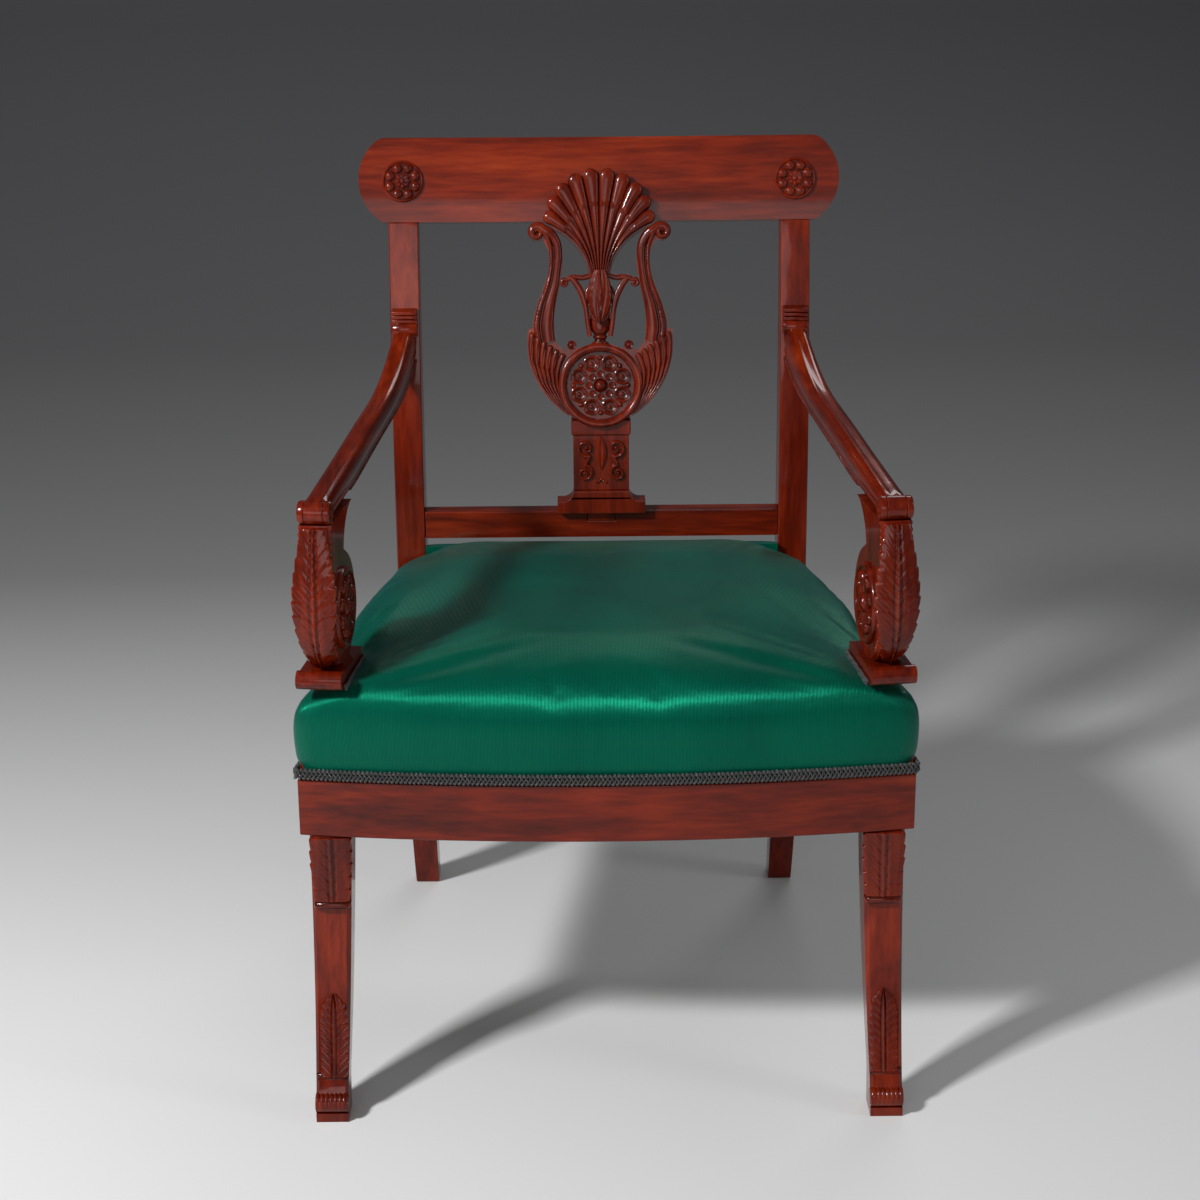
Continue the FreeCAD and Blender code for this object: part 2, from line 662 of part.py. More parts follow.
def lyre_bowl():
    """The board of the bowl's right half, with the small volute beside the ring."""
    thick = size("lyre_thick")
    rim = -size("bowl_rim")
    middle = -size("ring_drop")
    ring = size("ring_radius")
    half = size("bowl_half")
    inside = Vector(size("lyre_foot") - size("lyre_foot_wide") / 2, rim, 0)
    eye = Vector(size("ring_volute_half"), -size("ring_volute_drop"), 0)
    round_foot = Vector(size("bowl_foot_half"), middle - ring * 0.73, 0)
    belly = Vector(half * 0.925, middle + size("bowl_belly"), 0)
    crook = Vector(eye.x + size("ring_volute") * 1.8, eye.y - size("ring_volute"), 0)
    hollow = Vector(inside.x * 0.95, crook.y * 0.65 + inside.y * 0.35, 0)
    low = Vector(eye.x, eye.y - size("ring_volute") / 2, 0)
    board = plate(
        [
            Part.Arc(Vector(half, rim, 0), belly, round_foot).toShape(),
            line(round_foot, Vector(0, round_foot.y, 0)),
            line(Vector(0, round_foot.y, 0), Vector(0, low.y, 0)),
            line(Vector(0, low.y, 0), low),
            line(low, crook),
            Part.Arc(crook, hollow, inside).toShape(),
            line(inside, Vector(half, rim, 0)),
        ],
        0,
        thick,
    )
    scroll = Part.makeCylinder(size("ring_volute"), thick + 1, eye + Vector(0, 0, -thick))
    return board.fuse(scroll)


def faceted(rings):
    """A closed solid of small flat faces through rings of places, one over another."""
    def flat(spots):
        return Part.Face(Part.makePolygon(spots + spots[:1]))

    faces = [flat(rings[0]), flat(rings[-1])]
    for low, high in zip(rings, rings[1:]):
        for index, spot in enumerate(low):
            after = (index + 1) % len(low)
            corners = [spot, low[after], high[after], high[index]]
            normal = (corners[1] - spot).cross(corners[3] - spot)
            if abs(normal.dot(corners[2] - spot)) < normal.Length / 10000:
                faces.append(flat(corners))
            else:
                faces.append(flat(corners[:3]))
                faces.append(flat(corners[2:] + corners[:1]))
    solid = Part.makeSolid(Part.makeShell(faces))
    if solid.Volume < 0:
        solid.reverse()
    return solid


def turned_stack(stations, sides=16):
    """A small turned piece about Z through stations of radius and level."""
    rings = []
    for radius, level in stations:
        spots = []
        for side in range(sides):
            angle = 2 * math.pi * side / sides
            spots.append(Vector(radius * math.cos(angle), radius * math.sin(angle), level))
        rings.append(spots)
    return faceted(rings)


def gadroon(left, right, rise, slope=0.0):
    """A round-headed raised lobe between two lines, each given at its narrow end, middle and head."""
    middle = [(one + two) / 2 for one, two in zip(left, right)]
    half = [(two - one) / 2 for one, two in zip(left, right)]
    path = Part.Arc(*middle)
    reach = path.LastParameter - path.FirstParameter
    ahead = path.tangent(path.LastParameter)[0] * half[2].Length
    cuts = 4
    levels = []
    for width, height in ((1.0, -0.2), (0.8, 0.65), (0.35, 1.0)):
        one = []
        two = []
        for cut in range(cuts + 1):
            share = cut / cuts
            spot = path.value(path.FirstParameter + reach * share)
            aside = (
                half[0] * (1 - share) * (1 - 2 * share)
                + half[1] * 4 * share * (1 - share)
                + half[2] * share * (2 * share - 1)
            )
            one.append(spot - aside * width)
            two.append(spot + aside * width)
        head = []
        for turn in (45, 90, 135):
            angle = math.radians(turn)
            head.append(middle[2] + (ahead * math.sin(angle) - half[2] * math.cos(angle)) * width)
        spots = one + head + two[::-1]
        for spot in spots:
            spot.z = (rise + slope * spot.y) * height
        levels.append(spots)
    return faceted(levels)


def gadroons(bounds, rise, slope=0.0):
    """Lobes side by side, each a little narrower than the space between two lines."""
    lobes = []
    for one, two in zip(bounds, bounds[1:]):
        left = [a + (b - a) * size("lobe_gap") for a, b in zip(one, two)]
        right = [b + (a - b) * size("lobe_gap") for a, b in zip(one, two)]
        lobes.append(gadroon(left, right, rise, slope))
    return lobes


def lyre_reeds():
    """Reeds that start along the rim and draw together under the ring."""
    rim = -size("bowl_rim")
    middle = -size("ring_drop")
    ring = size("ring_radius")
    half = size("bowl_half")
    foot = size("bowl_foot_half")
    head = (half - ring * 0.8) / size("reed_count") / 2
    inset = size("reed_inset")
    outer = (
        Vector(foot + head * 0.2, middle - ring * 0.69, 0),
        Vector(half * 0.925 - inset, middle + size("bowl_belly"), 0),
        Vector(half - inset, rim - head - inset, 0),
    )
    inner = (
        Vector(foot - head, middle - ring * 0.61, 0),
        Vector(ring, middle, 0),
        Vector(ring * 0.85, middle + ring * 0.66, 0),
    )
    count = round(size("reed_count"))
    bounds = []
    for index in range(count + 1):
        share = index / count
        places = [start + (end - start) * share for start, end in zip(outer, inner)]
        places[2].y -= head * 1.8 * math.sin(math.pi * share)
        bounds.append(places)
    return gadroons(bounds, size("reed_rise"))


def plinth_room():
    """The space that the plinth takes up, with a little play."""
    half = size("block_half") + size("cap_proud") + size("joint_gap")
    front = size("splat_front") - size("cap_proud") - size("joint_gap")
    high = size(BLOCK_TOP) + size("joint_gap")
    return Part.makeBox(2 * half, size("splat_deep") * 2, high, Vector(-half, front, 0))


def lyre_body():
    middle = Vector(0, -size("ring_drop"), 0)
    ring = size("ring_radius")
    inner = ring - size("ring_wide")
    recess = size("ring_recess")
    proud = size("ring_proud")
    thick = size("lyre_thick")
    arm = lyre_arm()
    bowl = lyre_bowl()
    drum = Part.makeCylinder(ring, thick, middle + Vector(0, 0, -thick))
    reeds = lyre_reeds()
    body = drum.multiFuse(
        [arm, flip(arm), bowl, flip(bowl)] + reeds + [flip(shape) for shape in reeds]
    )
    body = body.cut(Part.makeCylinder(inner, recess * 2, middle + Vector(0, 0, -recess)))
    body.Placement = leaning(0, 0, size("lyre_proud"))
    reach = size("bowl_half") * 4
    ground = Part.makeBox(reach, reach, size(BLOCK_TOP), Vector(-reach / 2, 0, 0))
    body = body.cut(ground)

    rim = Part.makeCylinder(ring, proud, middle).cut(Part.makeCylinder(inner, proud, middle))
    edges = [edge for edge in rim.Edges if edge.BoundBox.ZMin > proud - 0.01]
    rim = rim.makeChamfer(min(proud, size("ring_wide")) * 0.3, edges)
    rim.Placement = leaning(0, 0, size("lyre_proud"))
    rim = rim.cut(plinth_room())

    wide = size("block_half")
    deep = size("tenon_thick")
    long = size("short_tenon")
    tenon = Part.makeBox(
        wide, deep, long * 2,
        Vector(-wide / 2, size(SPLAT_MID) - deep / 2, size(BLOCK_TOP) - long),
    )
    solid_piece("lyre_body", body.multiFuse([rim, tenon]).removeSplitter())


# The shell is a fan of round-headed lobes before the crest rail, on a stem that is tenoned into it.
def lyre_shell():
    front = size("lyre_proud")
    thick = size("lyre_thick")
    count = round(size("shell_lobes"))
    reach = size("shell_high")
    wide = size("shell_half")
    low = -size("stem_low")
    stem = size("stem_half")
    head = reach * math.sin(math.radians(size("shell_spread")) / count / 2)
    edge_out = size(f"crest_bow*(shell_half^2 - {STILE_MID}^2)/crest_half^2")

    corner = Vector(wide * 0.97, 0, 0)
    heel = Vector(wide * 0.84, low * 0.16, 0)
    flank = Vector(wide * 0.43, low * 0.46, 0)
    ankle = Vector(stem * 1.15, low * 0.85, 0)
    foot = Vector(stem, low, 0)
    half = [
        line(Vector(0, low, 0), foot),
        line(foot, ankle),
        Part.Arc(ankle, flank, heel).toShape(),
        line(heel, corner),
        line(corner, Vector()),
        line(Vector(), Vector(0, low, 0)),
    ]
    fan = plate(half, 0, thick)
    fan = fan.fuse(flip(fan))
    disc = Part.makeCylinder(reach - head * 0.4, front - edge_out, Vector(0, 0, edge_out - front))
    above = wide * 3
    disc = disc.cut(Part.makeBox(above, above, above, Vector(-above / 2, -above, -above / 2)))

    bounds = []
    for index in range(count + 1):
        angle = math.radians(90 + size("shell_spread") * (index / count - 0.5))
        share = index / count * 2 - 1
        tip = Vector(math.cos(angle) * (wide - head), math.sin(angle) * (reach - head), 0)
        root = Vector(-share * (stem - size("reed_inset")), low + size("reed_inset"), 0)
        bend = Vector(root.x * 1.3, low * 0.35, 0)
        bounds.append((root, root / 4 + bend / 2 + tip / 4, tip))
    slope = size("shell_proud") * 0.4 / reach
    lobes = gadroons(bounds, size("shell_proud") * 0.6, slope)

    deep = size(SPLAT_TENON_DEEP) - front
    deep_half = size("tenon_thick") / 2
    tenon = Part.makeBox(
        2 * stem, size("short_tenon") + head, 2 * deep_half, Vector(-stem, -head, deep - deep_half)
    )
    shell = fan.multiFuse([disc, tenon] + lobes)
    shell.Placement = leaning(0, 0, front)
    solid_piece("lyre_shell", shell)


# The calyx is a turned cup with a leaf, on a collar over the ring; its two arches end in scrolls.
def lyre_calyx():
    thick = size("calyx_thick")
    scroll = size("calyx_scroll")
    eye = Vector(size("calyx_scroll_half"), -size("calyx_scroll_drop"), 0)
    half = size("calyx_half")
    low = -size("calyx_low")
    neck = size("calyx_neck")
    stem = size("stem_half")
    foot = -size("stem_low") - size("joint_gap")
    arch = -size("calyx_arch_drop")
    middle = -size("ring_drop")
    ring = size("ring_radius") + size("joint_gap")

    over = curve([
        eye + Vector(scroll * 0.3, scroll * 0.9, 0),
        Vector(eye.x - scroll * 1.4, arch, 0),
        Vector(stem * 1.8, arch - scroll * 0.6, 0),
        Vector(stem + size("joint_gap"), foot, 0),
    ])
    under = curve([
        Vector(half, low, 0),
        Vector(half * 1.1, low * 0.84, 0),
        Vector(half * 1.5, low * 0.7, 0),
        Vector(eye.x - scroll * 1.5, arch - scroll * 1.3, 0),
        eye + Vector(-scroll * 0.8, scroll * 0.5, 0),
    ])
    side = plate(
        over + under + [
            line(Vector(stem + size("joint_gap"), foot, 0), Vector(0, foot, 0)),
            line(Vector(0, foot, 0), Vector(0, low, 0)),
            line(Vector(0, low, 0), Vector(half, low, 0)),
            line(eye + Vector(-scroll * 0.8, scroll * 0.5, 0), eye),
            line(eye, eye + Vector(scroll * 0.3, scroll * 0.9, 0)),
        ],
        0,
        thick,
    )
    side = side.fuse(Part.makeCylinder(scroll, thick, eye + Vector(0, 0, -thick)))

    drop = half * 0.6
    collar = (middle + ring + low - drop) / 2
    cup = turned_stack([
        (neck, middle + ring * 0.9),
        (neck, collar),
        (neck * 0.75, collar + neck * 0.2),
        (neck * 0.75, low - drop),
        (half * 0.85, low - drop * 0.5),
        (half, low + drop * 0.3),
        (half * 1.1, low * 0.84),
        (half * 0.4, foot),
    ])
    cup.rotate(Vector(), Vector(1, 0, 0), -90)
    cup.translate(Vector(0, 0, -thick / 2))

    rise = size("stem_half") / round(size("shell_lobes")) + size("joint_gap")
    leaf = flat_face(
        [
            Vector(0, foot + scroll * 1.25, 0),
            Vector(-stem, foot - scroll, 0),
            Vector(0, low * 0.9, 0),
            Vector(stem, foot - scroll, 0),
        ],
        {0: (stem * 1.6, "left"), 3: (stem * 1.6, "left"), 1: (ring, "right"), 2: (ring, "right")},
    )
    leaf = leaf.extrude(Vector(0, 0, size("leaf_thick")))
    leaf.translate(Vector(0, 0, rise))
    back = flat_face([
        Vector(-stem * 0.8, foot, 0), Vector(stem * 0.8, foot, 0), Vector(0, low * 0.84, 0),
    ]).extrude(Vector(0, 0, rise + size("leaf_thick") / 2))

    body = side.multiFuse([flip(side), cup, leaf, back])
    body = body.cut(Part.makeCylinder(ring, thick * 4, Vector(0, middle, -thick * 2)))
    body.Placement = leaning(0, 0, size("lyre_proud"))
    solid_piece("lyre_calyx", body)


# Turned rosettes with beads or petals, for the crest rail, the ring and the volutes.
def ring_of(shape, orbit, level, count):
    """Copies of a small piece, evenly spaced about Z."""
    copies = []
    for index in range(count):
        copy = shape.copy()
        copy.translate(Vector(orbit, 0, level))
        copy.rotate(Vector(), Vector(0, 0, 1), 360 * (index + 0.5) / count)
        copies.append(copy)
    return copies


def bead(radius, rise):
    """A domed bead that reaches a little below the ground it stands on."""
    return turned_stack([(radius, -rise / 4), (radius * 0.85, rise * 0.6), (radius * 0.4, rise)], 10)


def pair(name, shape, place):
    """A right-hand piece and its twin, kept together."""
    shape.Placement = place
    solid_piece(name, Part.makeCompound([shape, flip(shape)]))


def crest_rosettes():
    radius = size("rosette_radius")
    thick = size("rosette_thick")
    round_bead = size("bead_radius")
    orbit = size("bead_orbit")
    eye = orbit - round_bead
    disc = turned_stack([(radius, 0), (radius, thick * 0.75), (radius - thick / 4, thick)], 32)
    centre = bead(eye, round_bead / 2)
    centre.translate(Vector(0, 0, thick))
    buds = ring_of(bead(round_bead, round_bead * 0.7), orbit, thick, round(size("rosette_beads")))
    place = leaning(size("rosette_half"), size("rosette_level"), size("joint_gap"))
    slope = size("2*crest_bow*rosette_half/crest_half^2")
    turn = Placement(Vector(), Rotation(Vector(0, 1, 0), -math.degrees(math.atan(slope))))
    pair("crest_rosettes", disc.multiFuse([centre] + buds), place.multiply(turn))


def patera():
    edge = size("ring_radius") - size("ring_wide") - size("joint_gap")
    thick = size("petal_thick")
    boss = size("patera_boss")
    petal = size("petal_radius")
    count = round(size("patera_petals"))
    disc = Part.makeCylinder(edge, thick / 2)
    centre = bead(boss, boss * 0.8)
    centre.translate(Vector(0, 0, thick / 2))
    block = turned_stack([(petal, thick / 4), (petal, thick)], 12)
    dish = turned_stack([(petal * 0.4, thick * 0.65), (petal * 0.85, thick * 1.01)], 12)
    petals = ring_of(block.cut(dish), size("patera_orbit"), 0, count)
    bud = turned_stack([(petal / 3, thick / 4), (petal / 3, thick * 0.9)], 6)
    buds = ring_of(bud, boss + petal / 2, 0, count)
    rosette = disc.multiFuse([centre] + petals + buds)
    rosette.Placement = leaning(0, -size("ring_drop"), size("lyre_proud") - size("ring_recess"))
    solid_piece("lyre_patera", rosette.cut(plinth_room()))


def volute_rosettes():
    radius = size("boss_radius")
    thick = size("boss_thick")
    petal = radius / 6
    disc = turned_stack([(radius, 0), (radius, thick / 2), (radius - thick / 2, thick * 0.9),
                         (radius - thick, thick / 2)], 32)
    centre = bead(radius / 4, thick / 2)
    centre.translate(Vector(0, 0, thick / 2))
    petals = ring_of(bead(petal, thick / 3), radius * 0.54, thick / 2, round(size("boss_beads")))
    inward = Placement(
        Vector(-size("volute_thick") / 2 - size("joint_gap"), 0, size("volute_level")),
        Rotation(Vector(0, 1, 0), -90),
    )
    pair("volute_rosettes", disc.multiFuse([centre] + petals), SPLAYED.multiply(inward))


# The front leg is a sabre leg with a scrolled toe on a pad.
def front_leg():
    body = new_body("right_front_leg")
    outer = "(seat_half - front_leg_inset)"
    ankle_back = "(toe_front + toe_radius + sole_tall/3 + ankle_deep)"
    ankle_front = "(toe_front + toe_radius + sole_tall/3)"
    profile = new_sketch(body, "profile", SIDE, f"{outer} - front_leg_wide")
    draw(
        profile,
        [
            ("seat_front", "rail_bottom"),
            (ankle_front, "ankle_level"),
            ("toe_front + toe_radius", "sole_tall + 2*toe_radius"),
            ("toe_front", "sole_tall + toe_radius"),
            ("toe_front + toe_radius", "sole_tall"),
            (f"{ankle_back} - sole_tall/2", "sole_tall"),
            (ankle_back, "ankle_level"),
            ("seat_front + front_leg_deep", "rail_bottom"),
        ],
        {
            0: (arc_radius(f"seat_front - {ankle_front}", "rail_bottom - ankle_level"), "left"),
            2: ("toe_radius", "right"),
            3: ("toe_radius", "right"),
            6: (arc_radius(f"seat_front + front_leg_deep - {ankle_back}", "rail_bottom - ankle_level"),
                "right"),
        },
    )
    pad(body, profile, "front_leg_wide")
    sole = new_sketch(body, "sole", SIDE, f"{outer} - front_leg_ankle")
    draw_box(sole, "toe_front + sole_tall/3", f"{ankle_back} - sole_tall/2", "0", "sole_tall")
    pad(body, sole, "front_leg_ankle")
    taper = new_sketch(body, "taper", FRONT)
    inner = f"({outer} - front_leg_wide)"
    ankle = f"({outer} - front_leg_ankle)"
    draw(taper, [
        (inner, "rail_bottom"),
        (ankle, "ankle_level"),
        (ankle, "-sole_tall"),
        (f"{inner} - front_leg_wide", "-sole_tall"),
        (f"{inner} - front_leg_wide", "rail_bottom"),
    ])
    shaped = pocket(body, taper, "toe_front*-4", both_ways=True)

    def long_edge(edge):
        box = edge.BoundBox
        return box.ZLength > size("rail_bottom") / 2 and box.YLength > 1

    bevel_edges(body, shaped, "leg_bevel", long_edge)
    tenon = new_sketch(body, "tenon", PLAN, "rail_bottom - tenon_shoulder")
    draw_leg_tenon(tenon, "0")
    pad(body, tenon, "tenon_long + tenon_shoulder")
    mirror(body, "left_front_leg")


def draw_leg_tenon(sketch, grow, side=""):
    centre = f"{side}(seat_half - front_leg_inset - front_leg_wide/2)"
    deep = "(seat_front + rail_thick/2)"
    draw_box(
        sketch,
        f"{centre} - tenon_thick - {grow}",
        f"{centre} + tenon_thick + {grow}",
        f"{deep} - tenon_thick/2 - {grow}",
        f"{deep} + tenon_thick/2 + {grow}",
    )


# The seat frame: a bowed front rail, two side rails, a rear rail and glued corner blocks.
def front_seat_rail():
    body = new_body("front_seat_rail")
    back_half = f"(seat_half - rail_thick*{SIDE_SLOPE})"
    curve = arc_radius("seat_bow", "seat_half")

    def plan(name, lift, inset):
        sketch = new_sketch(body, name, PLAN, lift)
        draw(
            sketch,
            [
                (f"-(seat_half - {inset})", f"seat_front + {inset}"),
                (f"seat_half - {inset}", f"seat_front + {inset}"),
                (f"{back_half} - {inset}", RAIL_BACK),
                (f"-({back_half} - {inset})", RAIL_BACK),
            ],
            {0: (curve, "right")},
        )
        return sketch

    pad(body, plan("show", "rail_bottom", "0"), "rail_show")
    pad(body, plan("upper", SHOW_TOP, "rebate"), f"rail_top - {SHOW_TOP}")
    for side, name in (("-", "left"), ("", "right")):
        mortise = new_sketch(body, name + "_mortise", FRONT, f"-{RAIL_BACK}")
        draw_mortise(mortise, f"{side}{FRONT_TENON}", SHOW_TOP, "rail_top")
        pocket(body, mortise, "tenon_long + joint_gap", backward=True)
        socket = new_sketch(body, name + "_leg_mortise", PLAN, "rail_bottom")
        draw_leg_tenon(socket, "joint_gap", side)
        pocket(body, socket, "tenon_long + joint_gap", backward=True)


def side_rail():
    body = new_body("right_side_rail")
    near = f"(seat_half - rail_thick*{SIDE_SLOPE})"

    def plan(name, lift, inset):
        sketch = new_sketch(body, name, PLAN, lift)
        draw(sketch, [
            (f"{near} - side_thick", RAIL_BACK),
            (f"{near} - {inset}", RAIL_BACK),
            (f"{STILE_OUTER} - {inset}", "stile_front"),
            (f"{STILE_OUTER} - side_thick", "stile_front"),
        ])
        return sketch

    pad(body, plan("show", "rail_bottom", "0"), "rail_show")
    pad(body, plan("upper", SHOW_TOP, "rebate"), f"rail_top - {SHOW_TOP}")
    front = new_sketch(body, "front_tenon", FRONT, f"-({RAIL_BACK} + tenon_shoulder)")
    draw_mortise(front, FRONT_TENON, SHOW_TOP, "rail_top", "0")
    pad(body, front, "tenon_long + tenon_shoulder")
    back = new_sketch(body, "back_tenon", FRONT, "-(stile_front - tenon_shoulder)")
    draw_mortise(back, TENON_SIDE, "rail_bottom", SHOW_TOP, "0")
    pad(body, back, "tenon_long + tenon_shoulder", backward=True)
    socket = new_sketch(body, "post_mortise", PLAN, "rail_top")
    draw(socket, post_corners("joint_gap"))
    pocket(body, socket, "tenon_long + joint_gap")
    mirror(body, "left_side_rail")


def rear_rail():
    body = new_body("rear_seat_rail")
    section = new_sketch(body, "section", SIDE)
    draw_box(section, "stile_front", "stile_front + rear_thick", "rail_bottom", "rail_top")
    pad(body, section, "2*stile_inner", both_ways=True)
    tenon = new_sketch(body, "tenon", SIDE)
    draw_mortise(tenon, "stile_front + rear_thick/2", SHOW_TOP, "rail_top", "0")
    pad(body, tenon, "2*(stile_inner + short_tenon)", both_ways=True)


def inner_face(place):
    """X of the inner face of the right side rail at a distance from the front."""
    return f"(seat_half - side_thick - (({place}) - seat_front)*{SIDE_SLOPE})"


def corner_blocks():
    front = RAIL_BACK
    back = "stile_front"
    places = {
        "right_front_block": [
            (inner_face(front), front),
            (inner_face(f"{front} + brace_leg"), f"{front} + brace_leg"),
            (f"{inner_face(front)} - brace_leg", front),
        ],
        "right_back_block": [
            (inner_face(back), back),
            (f"{inner_face(back)} - brace_leg", back),
            (inner_face(f"{back} - brace_leg"), f"{back} - brace_leg"),
        ],
    }
    for name, corners in places.items():
        body = new_body(name)
        outline = new_sketch(body, "outline", PLAN, "brace_low")
        draw(outline, corners)
        pad(body, outline, "brace_tall")
        mirror(body, name.replace("right", "left"))


# The arm is sawn to its sweep from the side, set at its splay, rounded and fitted to the stile.
def arm():
    roll = size("roll_radius")
    low = size("arm_front_low")
    wide = size("arm_wide")
    long = 1 / math.cos(math.radians(splay))
    root = (size(ARM_ROOT) - size("volute_back")) * long
    bend = root - size("arm_bend")
    eye = Vector(-size("roll_ahead"), low + roll, 0)
    ahead = Vector(bend, size("arm_bend_high"), 0) - eye
    rise = math.atan2(ahead.y, ahead.x) - math.asin(roll / ahead.Length)
    crown = eye + Vector(-math.sin(rise), math.cos(rise), 0) * roll
    under = math.atan2(size("arm_bend_low") - low, bend - size("arm_seat_back"))
    high_end = Vector(root, size("arm_root_high"), 0)
    low_end = Vector(root, size("arm_root_low"), 0)
    high_bend = Vector(bend, size("arm_bend_high"), 0)
    low_bend = Vector(bend, size("arm_bend_low"), 0)
    profile = flat_face(
        [
            high_end, high_bend, crown, eye - Vector(roll, 0, 0), Vector(eye.x, low, 0),
            Vector(size("arm_seat_back"), low, 0), low_bend, low_end,
        ],
        {
            0: (sweep(high_bend, high_end, rise), "left"),
            2: (roll, "right"),
            3: (roll, "right"),
            6: (sweep(low_bend, low_end, under), "right"),
        },
    )
    bar = profile.extrude(Vector(0, 0, wide))
    edges = [
        edge for edge in bar.Edges
        if edge.BoundBox.ZLength < 1 and edge.BoundBox.XLength > size("arm_bend") / 3
        and edge.BoundBox.YMax > low + roll / 2
    ]
    bar = bar.makeChamfer(size("arm_bevel"), edges)
    extra = Part.makeBox(
        size("stile_deep"), size("arm_root_high") - size("arm_root_low"), wide,
        Vector(root - size("joint_gap"), size("arm_root_low"), 0),
    )
    bar = bar.fuse(extra)
    upright = Placement(Vector(-wide / 2, 0, 0), Rotation(0, 0, 0)).multiply(
        Placement(Vector(), Rotation(Vector(1, 1, 1), 120))
    )
    bar.Placement = SPLAYED.multiply(upright)

    back = size(ARM_ROOT) + size("stile_deep") * 2
    post = stile_prism(back, size("stile_width") * 3)
    bar = bar.cut(post)
    roll_root = size("root_roll")
    deep = size("collar_deep")
    high = size("arm_root_high")
    middle = size(STILE_MID)
    face = size(stile_face("arm_root_high"))
    drum = Part.makeCylinder(
        roll_root, wide,
        Vector(middle - wide / 2, face - deep + roll_root / 2, high - size("root_roll_drop")),
        Vector(1, 0, 0),
    )
    steps = [drum]
    count = 3
    for step in range(count):
        tall = size("collar_tall") / count
        out = deep * (1 - 0.12 * (count - 1 - step))
        steps.append(Part.makeBox(
            wide, deep * 2, tall, Vector(middle - wide / 2, face - out, high + step * tall)
        ))
    fitted = steps[0].multiFuse(steps[1:]).cut(post)
    thick = size("tenon_thick")
    shoulder = size("tenon_shoulder")
    tall = high - size("arm_root_low") - 2 * shoulder
    tenon = Part.makeBox(
        thick, 2 * size("short_tenon"), tall,
        Vector(middle - thick / 2, size(ARM_ROOT) - size("short_tenon"),
               size("arm_root_low") + shoulder),
    )
    right = solid_piece("right_arm", bar.multiFuse([fitted, tenon]))
    mirror(right, "left_arm")


def stile_prism(back, wide):
    """The space behind the curved front of a stile, from the arm's root up."""
    spots = []
    for level in ("arm_root_low - collar_tall", "(arm_root_low + arm_root_high)/2",
                  "arm_root_high + 2*collar_tall"):
        spots.append(Vector(0, size(stile_face(level)), size(level)))
    far_high = Vector(0, back, spots[2].z)
    far_low = Vector(0, back, spots[0].z)
    edges = [
        Part.Arc(*spots).toShape(),
        line(spots[2], far_high), line(far_high, far_low), line(far_low, spots[0]),
    ]
    face = Part.Face(Part.Wire(edges))
    prism = face.extrude(Vector(wide, 0, 0))
    prism.translate(Vector(size(STILE_MID) - wide / 2, 0, 0))
    return prism


def sweep(bend, end, slope):
    """Radius of the arc from the arm's straight, at a slope, to its root, with no kink."""
    chord = end - bend
    return chord.Length ** 2 / (2 * (chord.y * math.cos(slope) - chord.x * math.sin(slope)))


# The arm's support is a C-scroll volute on a block; the block's post goes through the upholstery.
def arm_support():
    foot_half = "sqrt(volute_radius^2 - (volute_level - volute_foot)^2)"
    body = new_body("right_arm_support")
    profile = new_sketch(body, "profile", SIDE, "-volute_thick/2")
    top_front = "-(roll_ahead + roll_radius*0.7)"
    draw(
        profile,
        [
            (top_front, "arm_front_low"),
            ("-volute_radius", "volute_level"),
            (f"-{foot_half}", "volute_foot"),
            (foot_half, "volute_foot"),
            ("volute_radius", "volute_level"),
            ("throat", "volute_level + sqrt(volute_radius^2 - throat^2)"),
            ("arm_seat_back", "arm_front_low"),
        ],
        {
            0: (arc_radius(f"volute_radius + {top_front}", "arm_front_low - volute_level"), "right"),
            1: ("volute_radius", "right"),
            3: ("volute_radius", "right"),
            4: ("volute_radius", "right"),
            5: ("throat_radius", "left"),
        },
    )
    shaped = pad(body, profile, "volute_thick")

    def rim(edge):
        box = edge.BoundBox
        hollow = box.ZMax > size("arm_front_low") - 0.1 and box.YMin > 0
        return box.XLength < 0.1 and box.ZLength > size("volute_bevel") and not hollow

    bevel_edges(body, shaped, "volute_bevel", rim)
    body.Placement = SPLAYED
    mirror(body, "left_arm_support")

    body = new_body("right_arm_base")
    low = "(volute_foot - plinth_tall)"
    slab = new_sketch(body, "slab", SIDE, "-plinth_wide/2")
    draw_box(slab, "-plinth_ahead", "plinth_behind", low, "volute_foot")
    pad(body, slab, "plinth_wide")
    roll = new_sketch(body, "roll", SIDE, "-plinth_wide/2")
    draw_circle(roll, "-plinth_ahead", f"{low} + plinth_roll", "plinth_roll")
    pad(body, roll, "plinth_wide")
    post = new_sketch(body, "post", PLAN, low)
    draw_box(post, "post_out - post_wide/2", "post_out + post_wide/2",
             "plinth_behind - post_deep", "plinth_behind")
    pad(body, post, f"{low} - rail_top + tenon_long", backward=True)
    body.Placement = SPLAYED
    mirror(body, "left_arm_base")


def post_corners(grow):
    """Corners, in plan, of the post under a volute, turned with the arm's splay."""
    corners = []
    for across_side, along_side in ((-1, -1), (1, -1), (1, 1), (-1, 1)):
        across = f"(post_out + {across_side}*(post_wide/2 + {grow}))"
        along = f"(plinth_behind - post_deep/2 + {along_side}*(post_deep/2 + {grow}))"
        turn = f"atan({SPLAY})"
        corners.append((
            f"volute_half + {across}*cos({turn}) - {along}*sin({turn})",
            f"volute_back + {across}*sin({turn}) + {along}*cos({turn})",
        ))
    return corners


